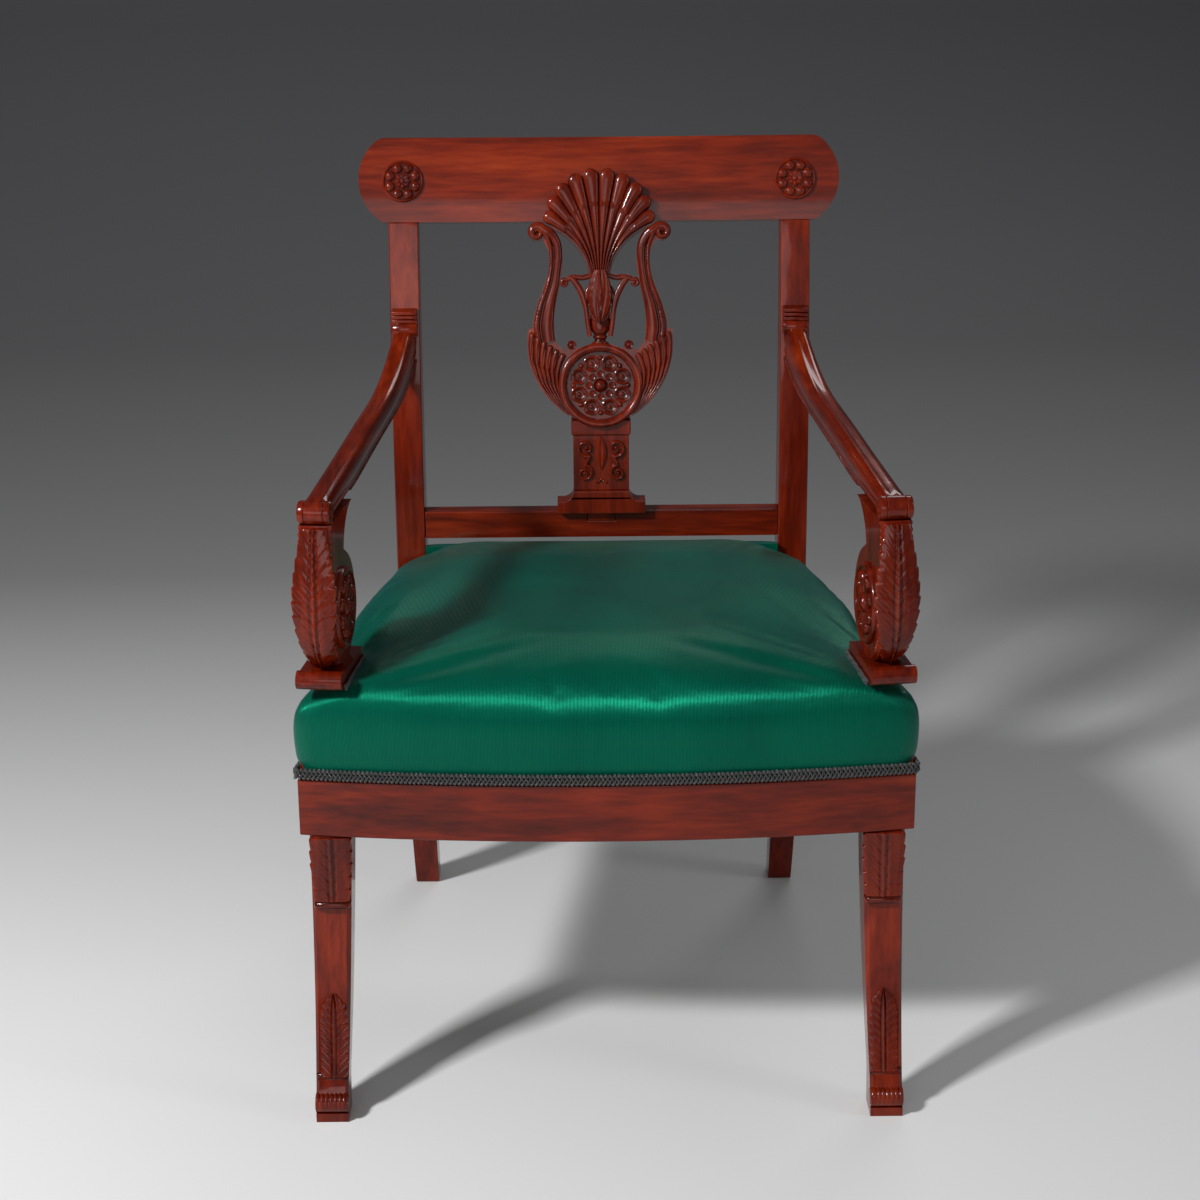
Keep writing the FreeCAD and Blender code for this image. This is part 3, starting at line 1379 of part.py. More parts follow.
# The upholstery: webbing and hessian on the frame, the stuffing, its cover and the gimp.
def frame_plan(inset, back):
    """The seat frame's outline in plan, drawn in by a distance."""
    wide = size("seat_half") - inset
    front = size("seat_front") + inset
    slope = size(SIDE_SLOPE)
    back_wide = wide - (back - front) * slope
    bow = size("seat_bow")
    curve = (wide ** 2 + bow ** 2) / (2 * bow)
    return flat_face(
        [Vector(-wide, front, 0), Vector(wide, front, 0), Vector(back_wide, back, 0),
         Vector(-back_wide, back, 0)],
        {0: (curve, "right")},
    )


def raised(face, low, tall):
    solid = face.extrude(Vector(0, 0, tall))
    solid.translate(Vector(0, 0, low))
    return solid


def webbing():
    wide = size("web_wide")
    thick = size("web_thick")
    low = size("rail_top")
    front = size("seat_front") + size("tenon_shoulder")
    back = size("stile_front") + size("rear_thick") - size("tenon_shoulder")
    count = round(size("web_count"))
    span = 2 * (size("stile_inner") - wide / 2 - size("tenon_shoulder"))
    strips = []
    for index in range(count):
        across = -span / 2 + index * span / (count - 1) - wide / 2
        strips.append(Part.makeBox(wide, back - front, thick, Vector(across, front, low)))
    edge = frame_plan(size("rebate") + size("tenon_shoulder"), back)
    bounds = raised(edge, low, size("web_thick") * 4)
    rows = round(size("web_across"))
    first = size("volute_back") + size("plinth_behind") + size("tenon_shoulder") + wide / 2
    last = size("stile_front") - wide
    over = low + thick + size("joint_gap")
    for index in range(rows):
        along = first + index * (last - first) / (rows - 1) - wide / 2
        strip = Part.makeBox(
            2 * size("seat_half"), wide, thick, Vector(-size("seat_half"), along, over)
        )
        strips.append(strip.common(bounds).Solids[0])
    solid_piece("webbing", Part.makeCompound(strips))


HESSIAN_LOW = "(rail_top + 2*web_thick + 2*joint_gap)"
HESSIAN_HIGH = "(rail_top + 2*web_thick + 2*joint_gap + hessian_thick)"


def hessian():
    front = size("stile_front") - size("rebate") * 2
    edge = frame_plan(size("hessian_inset"), front)
    half = size("stile_inner") - size("rebate")
    tongue = Part.makeBox(
        2 * half, size("rear_thick") + size("rebate"), size("hessian_thick"),
        Vector(-half, front, size(HESSIAN_LOW)),
    )
    solid_piece("hessian", raised(edge, size(HESSIAN_LOW), size("hessian_thick")).fuse(tongue))


def cushion_ring(level, lobed, inset):
    """One contour of the cushion. Lobed runs from 0 at the rails to 1 where the arms pinch it."""
    half = size("seat_half")
    front = size("seat_front")
    back = size("stile_front") - size("soft_gap") * 2
    slope = size(SIDE_SLOPE)
    pinch = size("cushion_pinch")
    pinch_y = size("volute_back") + size("volute_radius")
    corner_x = half + lobed * (pinch + size("cushion_lobe") / 2 - half)
    waist_x = half - (pinch_y - front) * slope
    waist_x += lobed * (pinch - waist_x)
    back_x = half - (back - front) * slope - lobed * size("tenon_shoulder")
    bow = size("seat_bow") * (1 - lobed * 0.2)
    lobe = 0.5 + lobed * size("cushion_lobe")
    depth = back - front
    centre = Vector(0, front + depth * 0.62, 0)

    def drawn_in(across, along):
        spot = Vector(across, along, 0)
        toward = centre - spot
        spot += Vector(toward.x * inset / half, toward.y * inset / depth * 1.3, 0)
        return Vector(spot.x, min(spot.y, back), 0)

    corner = drawn_in(corner_x, front - lobed * bow * 0.4)
    middle = drawn_in(0, front - bow)
    waist = drawn_in(waist_x, pinch_y)
    hind = drawn_in(back_x, back)
    bulge = drawn_in((waist_x + back_x) / 2 + lobe, (pinch_y + back) / 2)
    swell = drawn_in((corner_x + waist_x) / 2 + 0.5 + lobed * 5, (front + pinch_y) / 2)

    def flip(spot):
        return Vector(-spot.x, spot.y, 0)

    bends = [
        (flip(hind), flip(bulge), flip(waist), 8),
        (flip(waist), flip(swell), flip(corner), 4),
        (flip(corner), middle, corner, 8),
        (corner, swell, waist, 4),
        (waist, bulge, hind, 8),
    ]
    spots = [flip(hind)]
    for start, through, end, chords in bends:
        spots += Part.Arc(start, through, end).toShape().discretize(Number=chords + 1)[1:]
    return [spot + Vector(0, 0, level) for spot in spots]


def cushion_form(shrink):
    """The stuffed seat: straight sides over the rails, a rounded shoulder and a low crown."""
    low = size(SHOW_TOP) + size("soft_gap")
    shoulder = size("cushion_shoulder") - shrink
    top = size("cushion_top") - shrink
    swell = size("cushion_swell")
    start = size("rebate") - size("cloth_thick") - size("soft_gap")
    rings = [
        cushion_ring(low - shrink * 2, 0, start + shrink),
        cushion_ring(low + size("gimp_tall"), 0, start + shrink),
        cushion_ring(low + (shoulder - low) * 0.65, 0, shrink - swell),
        cushion_ring(shoulder - 2, 0.8, shrink + 3),
    ]
    reach = size("seat_half") * 0.55
    for share in (0.15, 1.0):
        rise = math.sqrt(1 - (1 - share) ** 2)
        rings.append(cushion_ring(shoulder + (top - shoulder) * rise, 1, shrink + 4 + reach * share))
    return faceted(rings)


def tongue(shrink):
    """The part of the upholstery that goes back between the stiles over the rear rail."""
    low = size(SHOW_TOP) + size("soft_gap") - shrink * 2
    back = size("tongue_back") - shrink
    front = size("stile_front") - size("rebate") * 4
    half = size("stile_inner") - size("soft_gap") - shrink
    high = size("cushion_shoulder") - shrink
    box = Part.makeBox(2 * half, back - front, high - low, Vector(-half, front, low))
    edge = [item for item in box.Edges if item.BoundBox.YMin > back - 1 and item.BoundBox.ZMin > high - 1]
    return box.makeFillet((back - size("stile_front")) * 0.7, edge)


def around_bases(grow):
    """The room that the cushion leaves for the blocks and posts under the volutes."""
    low = size("volute_foot") - size("plinth_tall")
    long = size("plinth_ahead") + size("plinth_roll") + size("plinth_behind")
    wide = size("plinth_wide")
    block = Part.makeBox(
        wide + 2 * grow, long + 2 * grow, size("plinth_tall") * 4,
        Vector(-wide / 2 - grow, -size("plinth_ahead") - size("plinth_roll") - grow, low - grow),
    )
    post = Part.makeBox(
        size("post_wide") + 2 * grow, size("post_deep") + 2 * grow, low,
        Vector(
            size("post_out") - size("post_wide") / 2 - grow,
            size("plinth_behind") - size("post_deep") - grow,
            0,
        ),
    )
    room = block.fuse(post)
    room.Placement = SPLAYED
    return room.fuse(room.mirror(Vector(), Vector(1, 0, 0)))


def seat():
    gap = size("soft_gap")
    cloth = size("cloth_thick")
    rooms = around_bases(gap * 2 + size("gimp_thick"))
    reach = size("seat_half") * 4
    below = Part.makeBox(
        reach, reach, size(HESSIAN_HIGH) + gap, Vector(-reach / 2, -reach / 2, 0)
    )
    inner = cushion_form(cloth + gap).fuse(tongue(cloth + gap))
    stuffing = inner.cut(below).cut(rooms)
    solid_piece("seat_stuffing", stuffing)

    outer = cushion_form(0).fuse(tongue(0))
    lining = cushion_form(cloth).fuse(tongue(cloth))
    frame_back = size("stile_front") + size("rear_thick") + gap
    frame = raised(frame_plan(size("rebate") - gap, frame_back), 0, size("rail_top") + gap)
    cover = outer.cut(lining).cut(frame).cut(rooms)
    solid_piece("seat_cover", cover)


def gimp():
    gap = size("soft_gap")
    thick = size("gimp_thick")
    back = size("stile_front") - gap
    low = size(SHOW_TOP)
    band = raised(frame_plan(-thick, back), low, size("gimp_tall"))
    hollow = raised(frame_plan(-gap / 3, back * 2), low, size("gimp_tall"))
    pieces = [band.cut(hollow)]
    tall = size("gimp_tall") / 3
    ahead = size("plinth_ahead") + size("plinth_roll")
    long = ahead + size("plinth_behind")
    for side in (1, -1):
        grown = []
        for grow in (gap + thick, gap):
            box = Part.makeBox(
                size("plinth_wide") + 2 * grow, long + 2 * grow, tall,
                Vector(-size("plinth_wide") / 2 - grow, -ahead - grow, 0),
            )
            grown.append(box)
        loop = grown[0].cut(grown[1])
        loop.Placement = SPLAYED.multiply(
            Placement(Vector(0, 0, size("volute_foot") - size("plinth_tall")), Rotation())
        )
        pieces.append(loop if side == 1 else loop.mirror(Vector(), Vector(1, 0, 0)))
    solid_piece("gimp_trim", Part.makeCompound(pieces))


crest_rail()
back_leg()
stay_rail()
splat_base()
lyre_body()
lyre_shell()
lyre_calyx()
crest_rosettes()
patera()
volute_rosettes()
front_leg()
front_seat_rail()
side_rail()
rear_rail()
corner_blocks()
arm()
arm_support()
webbing()
hessian()
seat()
gimp()
doc.recompute()

# Every feature has to have worked, and every piece has to be a sound solid, before files are written.
KINDS = ("PartDesign::Body", "Part::Mirroring", "Part::Feature")
for item in doc.Objects:
    if "Invalid" in item.State or "Error" in item.State:
        raise RuntimeError(f"{item.Name} failed: {item.State}")
pieces = [item for item in doc.Objects if item.TypeId in KINDS]
os.makedirs("parts", exist_ok=True)
for piece in pieces:
    shape = piece.Shape
    if shape.isNull() or not shape.isValid() or not shape.Solids:
        raise RuntimeError(f"{piece.Label} is not a sound solid")
    shape.exportStep(f"parts/{piece.Label}.step")
    print(piece.Label, len(shape.Solids), round(shape.Volume / 1000, 1))
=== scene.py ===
import math

import bmesh
import bpy
import numpy as np
from mathutils import Matrix, Vector


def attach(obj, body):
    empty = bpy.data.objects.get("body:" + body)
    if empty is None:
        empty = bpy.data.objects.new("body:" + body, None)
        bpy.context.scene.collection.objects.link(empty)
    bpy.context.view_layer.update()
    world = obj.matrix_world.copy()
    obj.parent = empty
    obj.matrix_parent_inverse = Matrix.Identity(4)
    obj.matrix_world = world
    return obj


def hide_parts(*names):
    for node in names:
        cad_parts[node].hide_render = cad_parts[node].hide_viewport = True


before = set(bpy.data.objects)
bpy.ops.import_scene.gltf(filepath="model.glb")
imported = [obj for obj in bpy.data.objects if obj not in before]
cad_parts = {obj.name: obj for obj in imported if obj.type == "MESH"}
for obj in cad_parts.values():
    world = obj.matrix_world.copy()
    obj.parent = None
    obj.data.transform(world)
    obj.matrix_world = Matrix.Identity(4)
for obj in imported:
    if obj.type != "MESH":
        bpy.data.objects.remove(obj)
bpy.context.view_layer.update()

bl_info = {
    "name": "Lyre back armchair",
    "version": (1, 0, 0),
    "blender": (4, 5, 0),
    "location": "3D View > Sidebar > Chair",
    "description": "Carving, polish and upholstery for a lyre back armchair",
    "category": "Object",
}

# Shared places. Lengths are in millimetres until MM takes them to metres.
MM = 0.001
LEAN = math.radians(12.6)  # the back, from upright
SPLAY = math.radians(6.3)  # the arms, which draw together toward the back
CREST_Y, CREST_Z = 252.7, 809  # the back's face at the crest rail's lower edge
RING_V = -182.8  # centre of the lyre's ring, from the same edge
EYE_X, EYE_Y, EYE_Z = 267, -205, 508  # eye of the right arm's scroll
SIDE_TAPER = 0.1429  # how much the seat's sides draw in toward the back
GIMP_Z = 352
WAYS = (1, -1)


def leaning(x, v, out=0.0):
    """A place on the leaning back: across, up from the crest rail's lower edge, and forward."""
    x, v, out = np.broadcast_arrays(np.asarray(x, float), v, out)
    y = CREST_Y + v * math.sin(LEAN) - out * math.cos(LEAN)
    z = CREST_Z + v * math.cos(LEAN) + out * math.sin(LEAN)
    return np.stack([x, y, z], -1) * MM


def splayed(x, y, z):
    """A place in the right arm's frame: outward, backward from the scroll's eye, and up."""
    x, y, z = np.broadcast_arrays(np.asarray(x, float), y, z)
    across = EYE_X + x * math.cos(SPLAY) - y * math.sin(SPLAY)
    back = EYE_Y + x * math.sin(SPLAY) + y * math.cos(SPLAY)
    return np.stack([across, back, z], -1) * MM


def upright(x, y, z):
    """A place in the chair's own axes."""
    x, y, z = np.broadcast_arrays(np.asarray(x, float), y, z)
    return np.stack([x, y, z], -1) * MM


def moved(place, x, y, z=0.0):
    """The same frame with its origin moved."""
    return lambda a, b, c: place(a + x, b + y, c + z)


def circle(count):
    return np.linspace(0, 2 * math.pi, count, endpoint=False)


def arch(t):
    """The height of a half round from -1 to 1."""
    return np.sqrt(np.clip(1 - t**2, 0, 1))


def lengths(line):
    """How far along a line each of its spots lies."""
    return np.concatenate([[0], np.cumsum(np.linalg.norm(np.diff(line, axis=0), axis=1))])


def smooth(spots, count):
    """A smooth line through a few spots, with a number of even steps."""
    spots = np.asarray(spots, float)
    steps = np.linalg.norm(np.diff(spots, axis=0), axis=1) ** 0.5
    knots = np.concatenate([[0], np.cumsum(steps)])
    slopes = np.gradient(spots, knots, axis=0)
    t = np.linspace(0, knots[-1], count * 8)
    k = np.clip(np.searchsorted(knots, t, "right") - 1, 0, len(knots) - 2)
    h = (knots[k + 1] - knots[k])[:, None]
    u = ((t - knots[k])[:, None]) / h
    line = (
        (2 * u**3 - 3 * u**2 + 1) * spots[k] + (u**3 - 2 * u**2 + u) * h * slopes[k]
        + (3 * u**2 - 2 * u**3) * spots[k + 1] + (u**3 - u**2) * h * slopes[k + 1]
    )
    run = lengths(line)
    even = np.linspace(0, run[-1], count)
    return np.stack([np.interp(even, run, line[:, i]) for i in range(line.shape[1])], -1)


class Work:
    """Points and faces of one piece as it is built up."""

    def __init__(self):
        self.points = []
        self.faces = []
        self.total = 0

    def grid(self, points, around=False, along=False, caps=False, turned=False):
        """Quads over rows of points; around closes each row, along joins the last row to the first."""
        points = np.asarray(points, float)
        rows, cols = points.shape[:2]
        base = self.total
        self.points.append(points.reshape(-1, 3))
        self.total += rows * cols
        index = base + np.arange(rows * cols).reshape(rows, cols)
        if along:
            index = np.vstack([index, index[:1]])
        if around:
            index = np.hstack([index, index[:, :1]])
        quads = np.stack([index[:-1, :-1], index[:-1, 1:], index[1:, 1:], index[1:, :-1]], -1).reshape(-1, 4)
        if turned:
            quads = quads[:, ::-1]
        self.faces += quads.tolist()
        if caps:
            first = (base + np.arange(cols)).tolist()
            last = (base + (rows - 1) * cols + np.arange(cols)).tolist()
            self.faces.append(first if turned else first[::-1])
            self.faces.append(last[::-1] if turned else last)

    def mirrored(self):
        """Adds the same again on the other side of the chair's middle."""
        points = np.vstack(self.points)
        flipped = points * [-1, 1, 1]
        faces = [[self.total + i for i in face[::-1]] for face in self.faces]
        self.points.append(flipped)
        self.faces += faces
        self.total *= 2

    def make(self, name, material, replaces=(), sharp=40):
        mesh = bpy.data.meshes.new(name)
        mesh.from_pydata(np.vstack(self.points).tolist(), [], self.faces)
        mesh.validate()
        whole = bmesh.new()
        whole.from_mesh(mesh)
        bmesh.ops.recalc_face_normals(whole, faces=whole.faces)
        whole.to_mesh(mesh)
        whole.free()
        mesh.shade_smooth()
        mesh.set_sharp_from_angle(angle=math.radians(sharp))
        piece = bpy.data.objects.new(name, mesh)
        bpy.context.scene.collection.objects.link(piece)
        mesh.materials.append(material)
        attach(piece, "root")
        if replaces:
            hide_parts(*replaces)
        return piece


def lathe(work, place, stations, count=48, lobes=0, deep=0.0):
    """A turned form of (radius, level) stations about the z axis of its place."""
    turn = circle(count)
    rows = []
    for radius, level in stations:
        r = radius * (1 + deep * np.cos(lobes * turn)) if lobes else radius + 0 * turn
        rows.append(place(r * np.cos(turn), r * np.sin(turn), level))
    work.grid(rows, around=True, caps=True)


def dome(radius, rise, steps=7, foot=-1.0, base=0.0):
    """Stations of a domed bead from its foot to its crown, raised by base."""
    rows = [(radius, foot + base)]
    for step in range(steps):
        angle = math.pi / 2 * step / steps
        rows.append((radius * math.cos(angle), rise * math.sin(angle) + base))
    rows.append((radius * 0.02, rise + base))
    return rows


def sweep(work, place, line, half, columns, rise, low=None):
    """A moulding along a flat line: rise(s, t) is its height along and across, low its underside."""
    line = np.asarray(line, float)
    ahead = np.gradient(line, axis=0)
    ahead /= np.linalg.norm(ahead, axis=1)[:, None]
    side = np.stack([-ahead[:, 1], ahead[:, 0]], -1)
    s = np.linspace(0, 1, len(line))[:, None]
    t = np.linspace(-1, 1, columns)[None]
    height = np.broadcast_to(rise(s, t), (len(line), columns))
    if low is not None:
        t = np.concatenate([t, [[1, -1]]], 1)
        height = np.concatenate([height, np.full((len(line), 2), low)], 1)
    across = t * half[:, None]
    spots = line[:, None, :] + side[:, None, :] * across[:, :, None]
    work.grid(place(spots[..., 0], spots[..., 1], height), around=True, caps=True)


# Finishes. Each is made of nodes in the row's own coordinates, so grain and weave keep their scale.
class Finish:
    """A principled surface with its pattern nodes."""

    def __init__(self, name, roughness=0.3, **sockets):
        self.material = bpy.data.materials.new(name)
        self.material.use_nodes = True
        self.tree = self.material.node_tree
        self.shader = self.tree.nodes["Principled BSDF"]
        self.shader.inputs["Roughness"].default_value = roughness
        for socket, value in sockets.items():
            self.shader.inputs[socket.replace("_", " ")].default_value = value
        self.place = self.tree.nodes.new("ShaderNodeTexCoord").outputs["Object"]

    def join(self, output, node, socket):
        self.tree.links.new(output, node.inputs[socket])

    def stretch(self, x, y, z):
        node = self.tree.nodes.new("ShaderNodeMapping")
        node.inputs["Scale"].default_value = (x, y, z)
        self.join(self.place, node, "Vector")
        return node.outputs["Vector"]

    def noise(self, place, scale, detail=4.0, distortion=0.0):
        node = self.tree.nodes.new("ShaderNodeTexNoise")
        node.inputs["Scale"].default_value = scale
        node.inputs["Detail"].default_value = detail
        node.inputs["Distortion"].default_value = distortion
        self.join(place, node, "Vector")
        return node.outputs["Fac"]

    def wave(self, place, scale, direction="X", distortion=0.0, detail=0.0):
        node = self.tree.nodes.new("ShaderNodeTexWave")
        node.bands_direction = direction
        node.inputs["Scale"].default_value = scale
        node.inputs["Distortion"].default_value = distortion
        node.inputs["Detail"].default_value = detail
        self.join(place, node, "Vector")
        return node.outputs["Fac"]

    def ramp(self, value, stops):
        node = self.tree.nodes.new("ShaderNodeValToRGB")
        while len(node.color_ramp.elements) < len(stops):
            node.color_ramp.elements.new(0.5)
        for element, (spot, colour) in zip(node.color_ramp.elements, stops):
            element.position = spot
            element.color = (*colour, 1) if len(colour) == 3 else colour
        self.join(value, node, "Fac")
        return node.outputs["Color"]

    def sums(self, one, two, how="ADD", share=None):
        node = self.tree.nodes.new("ShaderNodeMath")
        node.operation = how
        self.join(one, node, 0)
        if share is None:
            self.join(two, node, 1)
        else:
            node.inputs[1].default_value = share
        return node.outputs[0]

    def mix(self, share, one, two, how="MIX"):
        node = self.tree.nodes.new("ShaderNodeMix")
        node.data_type = "RGBA"
        node.blend_type = how
        for socket, value in ((0, share), (6, one), (7, two)):
            if hasattr(value, "links"):
                self.join(value, node, socket)
            else:
                node.inputs[socket].default_value = value if socket == 0 else (*value, 1)
        return node.outputs[2]

    def colour(self, output):
        self.join(output, self.shader, "Base Color")

    def rough(self, value, low, high):
        node = self.tree.nodes.new("ShaderNodeMapRange")
        node.inputs["To Min"].default_value = low
        node.inputs["To Max"].default_value = high
        self.join(value, node, "Value")
        self.join(node.outputs["Result"], self.shader, "Roughness")

    def bump(self, height, distance, strength=1.0):
        node = self.tree.nodes.new("ShaderNodeBump")
        node.inputs["Distance"].default_value = distance
        node.inputs["Strength"].default_value = strength
        self.join(height, node, "Height")
        self.join(node.outputs["Normal"], self.shader, "Normal")


def mahogany(name, axis, deep=1.0, carved=False):
    """Red mahogany under french polish, its grain along one axis; carved, it has painted shade in its hollows and
    a painted highlight on its ridges.
    """
    wood = Finish(name, 0.16, Coat_Weight=0.30, Coat_Roughness=0.03, Specular_IOR_Level=0.14)
    long = {"X": (1, 9, 9), "Y": (9, 1, 9), "Z": (9, 9, 1)}[axis]
    along = wood.stretch(*long)
    figure = wood.noise(along, 3.4, 5, 0.9)
    streak = wood.noise(wood.stretch(*[n * 5 for n in long]), 4.0, 3, 0.3)
    cloud = wood.noise(wood.place, 5.0, 2)
    mixed = wood.sums(wood.sums(figure, None, "MULTIPLY", 0.62), wood.sums(streak, None, "MULTIPLY", 0.38))
    tint = [(0.32, (0.054, 0.0036, 0.0008)), (0.46, (0.112, 0.0078, 0.0012)),
            (0.56, (0.168, 0.0130, 0.0018)), (0.70, (0.245, 0.0260, 0.0036))]
    grain = wood.ramp(mixed, [(spot, tuple(c * deep for c in shade)) for spot, shade in tint])
    shade = wood.ramp(cloud, [(0.35, (0.74, 0.68, 0.68)), (0.62, (1.0, 1.0, 1.0))])
    colour = wood.mix(1.0, grain, shade, "MULTIPLY")
    # Carved pieces: painted shade darkens the hollows and a painted highlight lightens the ridges, both taken
    # from the surface's pointiness.
    if carved:
        edge = wood.tree.nodes.new("ShaderNodeNewGeometry").outputs["Pointiness"]
        painted_hollow_shade_ridge_light = wood.ramp(edge, [(0.40, (0.16, 0.12, 0.12)), (0.50, (0.9, 0.9, 0.9)),
                                  (0.60, (1.5, 1.35, 1.3))])
        colour = wood.mix(1.0, colour, painted_hollow_shade_ridge_light, "MULTIPLY")
    wood.colour(colour)
    dull = 0.06 if carved else 0
    wood.rough(wood.noise(wood.place, 38, 4), 0.10 + dull, 0.30 + dull)
    pores = wood.noise(wood.stretch(*[n * 26 for n in long]), 5.0, 2)
    wave = wood.noise(wood.place, 22, 2)
    height = wood.sums(wood.sums(pores, None, "MULTIPLY", 0.25), wave)
    wood.bump(height, 0.00045, 0.5)
    return wood.material


def beech():
    """Unpolished frame wood, toned with age."""
    wood = Finish("frame_beech", 0.6)
    grain = wood.noise(wood.stretch(2, 14, 14), 6, 5, 0.8)
    wood.colour(wood.ramp(grain, [(0.35, (0.20, 0.115, 0.055)), (0.6, (0.38, 0.25, 0.13))]))
    wood.rough(grain, 0.5, 0.75)
    wood.bump(wood.noise(wood.stretch(20, 160, 160), 6, 2), 0.0004, 0.6)
    return wood.material


def satin(shade):
    """Green satin with a fine upright rib, and a sheen at its turning edges that is partly painted into its
    colour.
    """
    cloth = Finish("green_satin", 0.38, Sheen_Weight=0.07, Sheen_Roughness=0.30, Specular_IOR_Level=0.8,
                   Anisotropic=0.4)
    cloth.shader.inputs["Sheen Tint"].default_value = (0.02, 0.75, 0.50, 1)
    cloth.shader.inputs["Specular Tint"].default_value = (0.02, 0.90, 0.50, 1)
    # Painted sheen: the colour is a little darker where the cloth faces the camera, and lighter and bluer where
    # it turns away.
    facing = cloth.tree.nodes.new("ShaderNodeLayerWeight")
    facing.inputs["Blend"].default_value = 0.42
    turn = facing.outputs["Facing"]
    tone_and_painted_sheen = cloth.ramp(turn, [(0.0, tuple(c * 0.9 for c in shade)), (0.45, tuple(c * 1.15 for c in shade)),
                             (1.0, (0.0, shade[1] * 1.25, shade[2] * 1.9))])
    cloud = cloth.noise(cloth.stretch(5, 5, 1.4), 2.2, 4)
    cloud = cloth.ramp(cloud, [(0.3, (0.72, 0.72, 0.76)), (0.7, (1.16, 1.16, 1.1))])
    rib = cloth.wave(cloth.place, 240, "X", 0.35, 1)
    slub = cloth.noise(cloth.stretch(330, 330, 6), 1.0, 2)
    thread = cloth.sums(rib, slub, "MULTIPLY")
    thread = cloth.ramp(thread, [(0.0, (0.74, 0.76, 0.78)), (0.6, (1.08, 1.08, 1.08))])
    cloth.colour(cloth.mix(1.0, cloth.mix(1.0, tone_and_painted_sheen, cloud, "MULTIPLY"), thread, "MULTIPLY"))
    cloth.rough(cloth.noise(cloth.place, 9, 3), 0.27, 0.44)
    cloth.bump(cloth.sums(rib, cloth.sums(slub, None, "MULTIPLY", 0.8)), 0.00028, 0.75)
    return cloth.material


def braid():
    """Black gimp with a slight gloss on its threads."""
    cord = Finish("black_gimp", 0.55, Sheen_Weight=0.2)
    twist = cord.wave(cord.stretch(1, 1, 1), 190, "DIAGONAL", 0.6, 1)
    cord.colour(cord.ramp(twist, [(0.1, (0.004, 0.004, 0.005)), (0.9, (0.030, 0.028, 0.030))]))
    cord.rough(twist, 0.42, 0.66)
    cord.bump(twist, 0.0005, 0.9)
    return cord.material


def plain_weave(name, low, high, scale):
    """Jute threads over and under each other."""
    cloth = Finish(name, 0.85)
    across = cloth.wave(cloth.place, scale, "X", 0.5, 1)
    along = cloth.wave(cloth.place, scale, "Y", 0.5, 1)
    check = cloth.sums(across, along, "MULTIPLY")
    dirt = cloth.noise(cloth.place, 14, 4)
    cloth.colour(cloth.mix(dirt, cloth.ramp(check, [(0.1, low), (0.7, high)]), low))
    cloth.rough(check, 0.75, 0.95)
    cloth.bump(check, 0.0008, 0.9)
    return cloth.material


def polish_node(name, material, width=1.3):
    """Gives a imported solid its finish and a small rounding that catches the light."""
    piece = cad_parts[name]
    piece.data.materials.clear()
    piece.data.materials.append(material)
    weld = piece.modifiers.new("Weld", "WELD")
    weld.merge_threshold = 0.00002
    ease = piece.modifiers.new("Ease", "BEVEL")
    ease.width = width * MM
    ease.segments = 3
    ease.limit_method = "ANGLE"
    ease.angle_limit = math.radians(28)
    ease.harden_normals = True
    piece.data.shade_smooth()
    even = piece.modifiers.new("Even", "WEIGHTED_NORMAL")
    even.keep_sharp = False


# Carving on the back.
def lobe(work, place, left, right, rise, ground=0.0, steps=26, step_at=0.0, round_off=0.9):
    """A round-headed raised lobe between two lines given at narrow end, middle and head."""
    left, right = np.asarray(left, float), np.asarray(right, float)
    s = np.linspace(0, 1, steps)[:, None]
    shares = ((1 - s) * (1 - 2 * s), 4 * s * (1 - s), s * (2 * s - 1))
    one = sum(a * left[k] for k, a in enumerate(shares))
    two = sum(a * right[k] for k, a in enumerate(shares))
    middle, half = (one + two) / 2, (two - one) / 2
    ahead = np.array([-half[-1][1], half[-1][0]])
    if np.dot(ahead, middle[-1] - middle[-3]) < 0:
        ahead = -ahead
    turn = np.linspace(0, math.pi / 2, 9)[1:, None]
    middle = np.vstack([middle, middle[-1] + np.sin(turn) * ahead])
    half = np.vstack([half, half[-1] * np.maximum(np.cos(turn), 0.02)])
    fall = np.concatenate([0.55 + 0.45 * s[:, 0] ** 0.6, np.cos(turn[:, 0] * 0.93) ** 0.5])
    t = np.linspace(-1, 1, 15)
    bow = arch(t) ** round_off
    height = ground + rise * fall[:, None] * bow[None]
    if step_at:
        row = np.linspace(0, 1, len(middle))
        height = height - 0.20 * rise * (row < step_at)[:, None] * (bow > 0.3)[None]
    spots = middle[:, None, :] + half[:, None, :] * t[None, :, None]
    points = np.concatenate([spots, spots[:, -1:, :], spots[:, :1, :]], 1)
    low = np.full((len(middle), 1), ground - 1.5)
    height = np.concatenate([height, low, low], 1)
    work.grid(place(points[..., 0], points[..., 1], height), around=True, caps=True, turned=True)


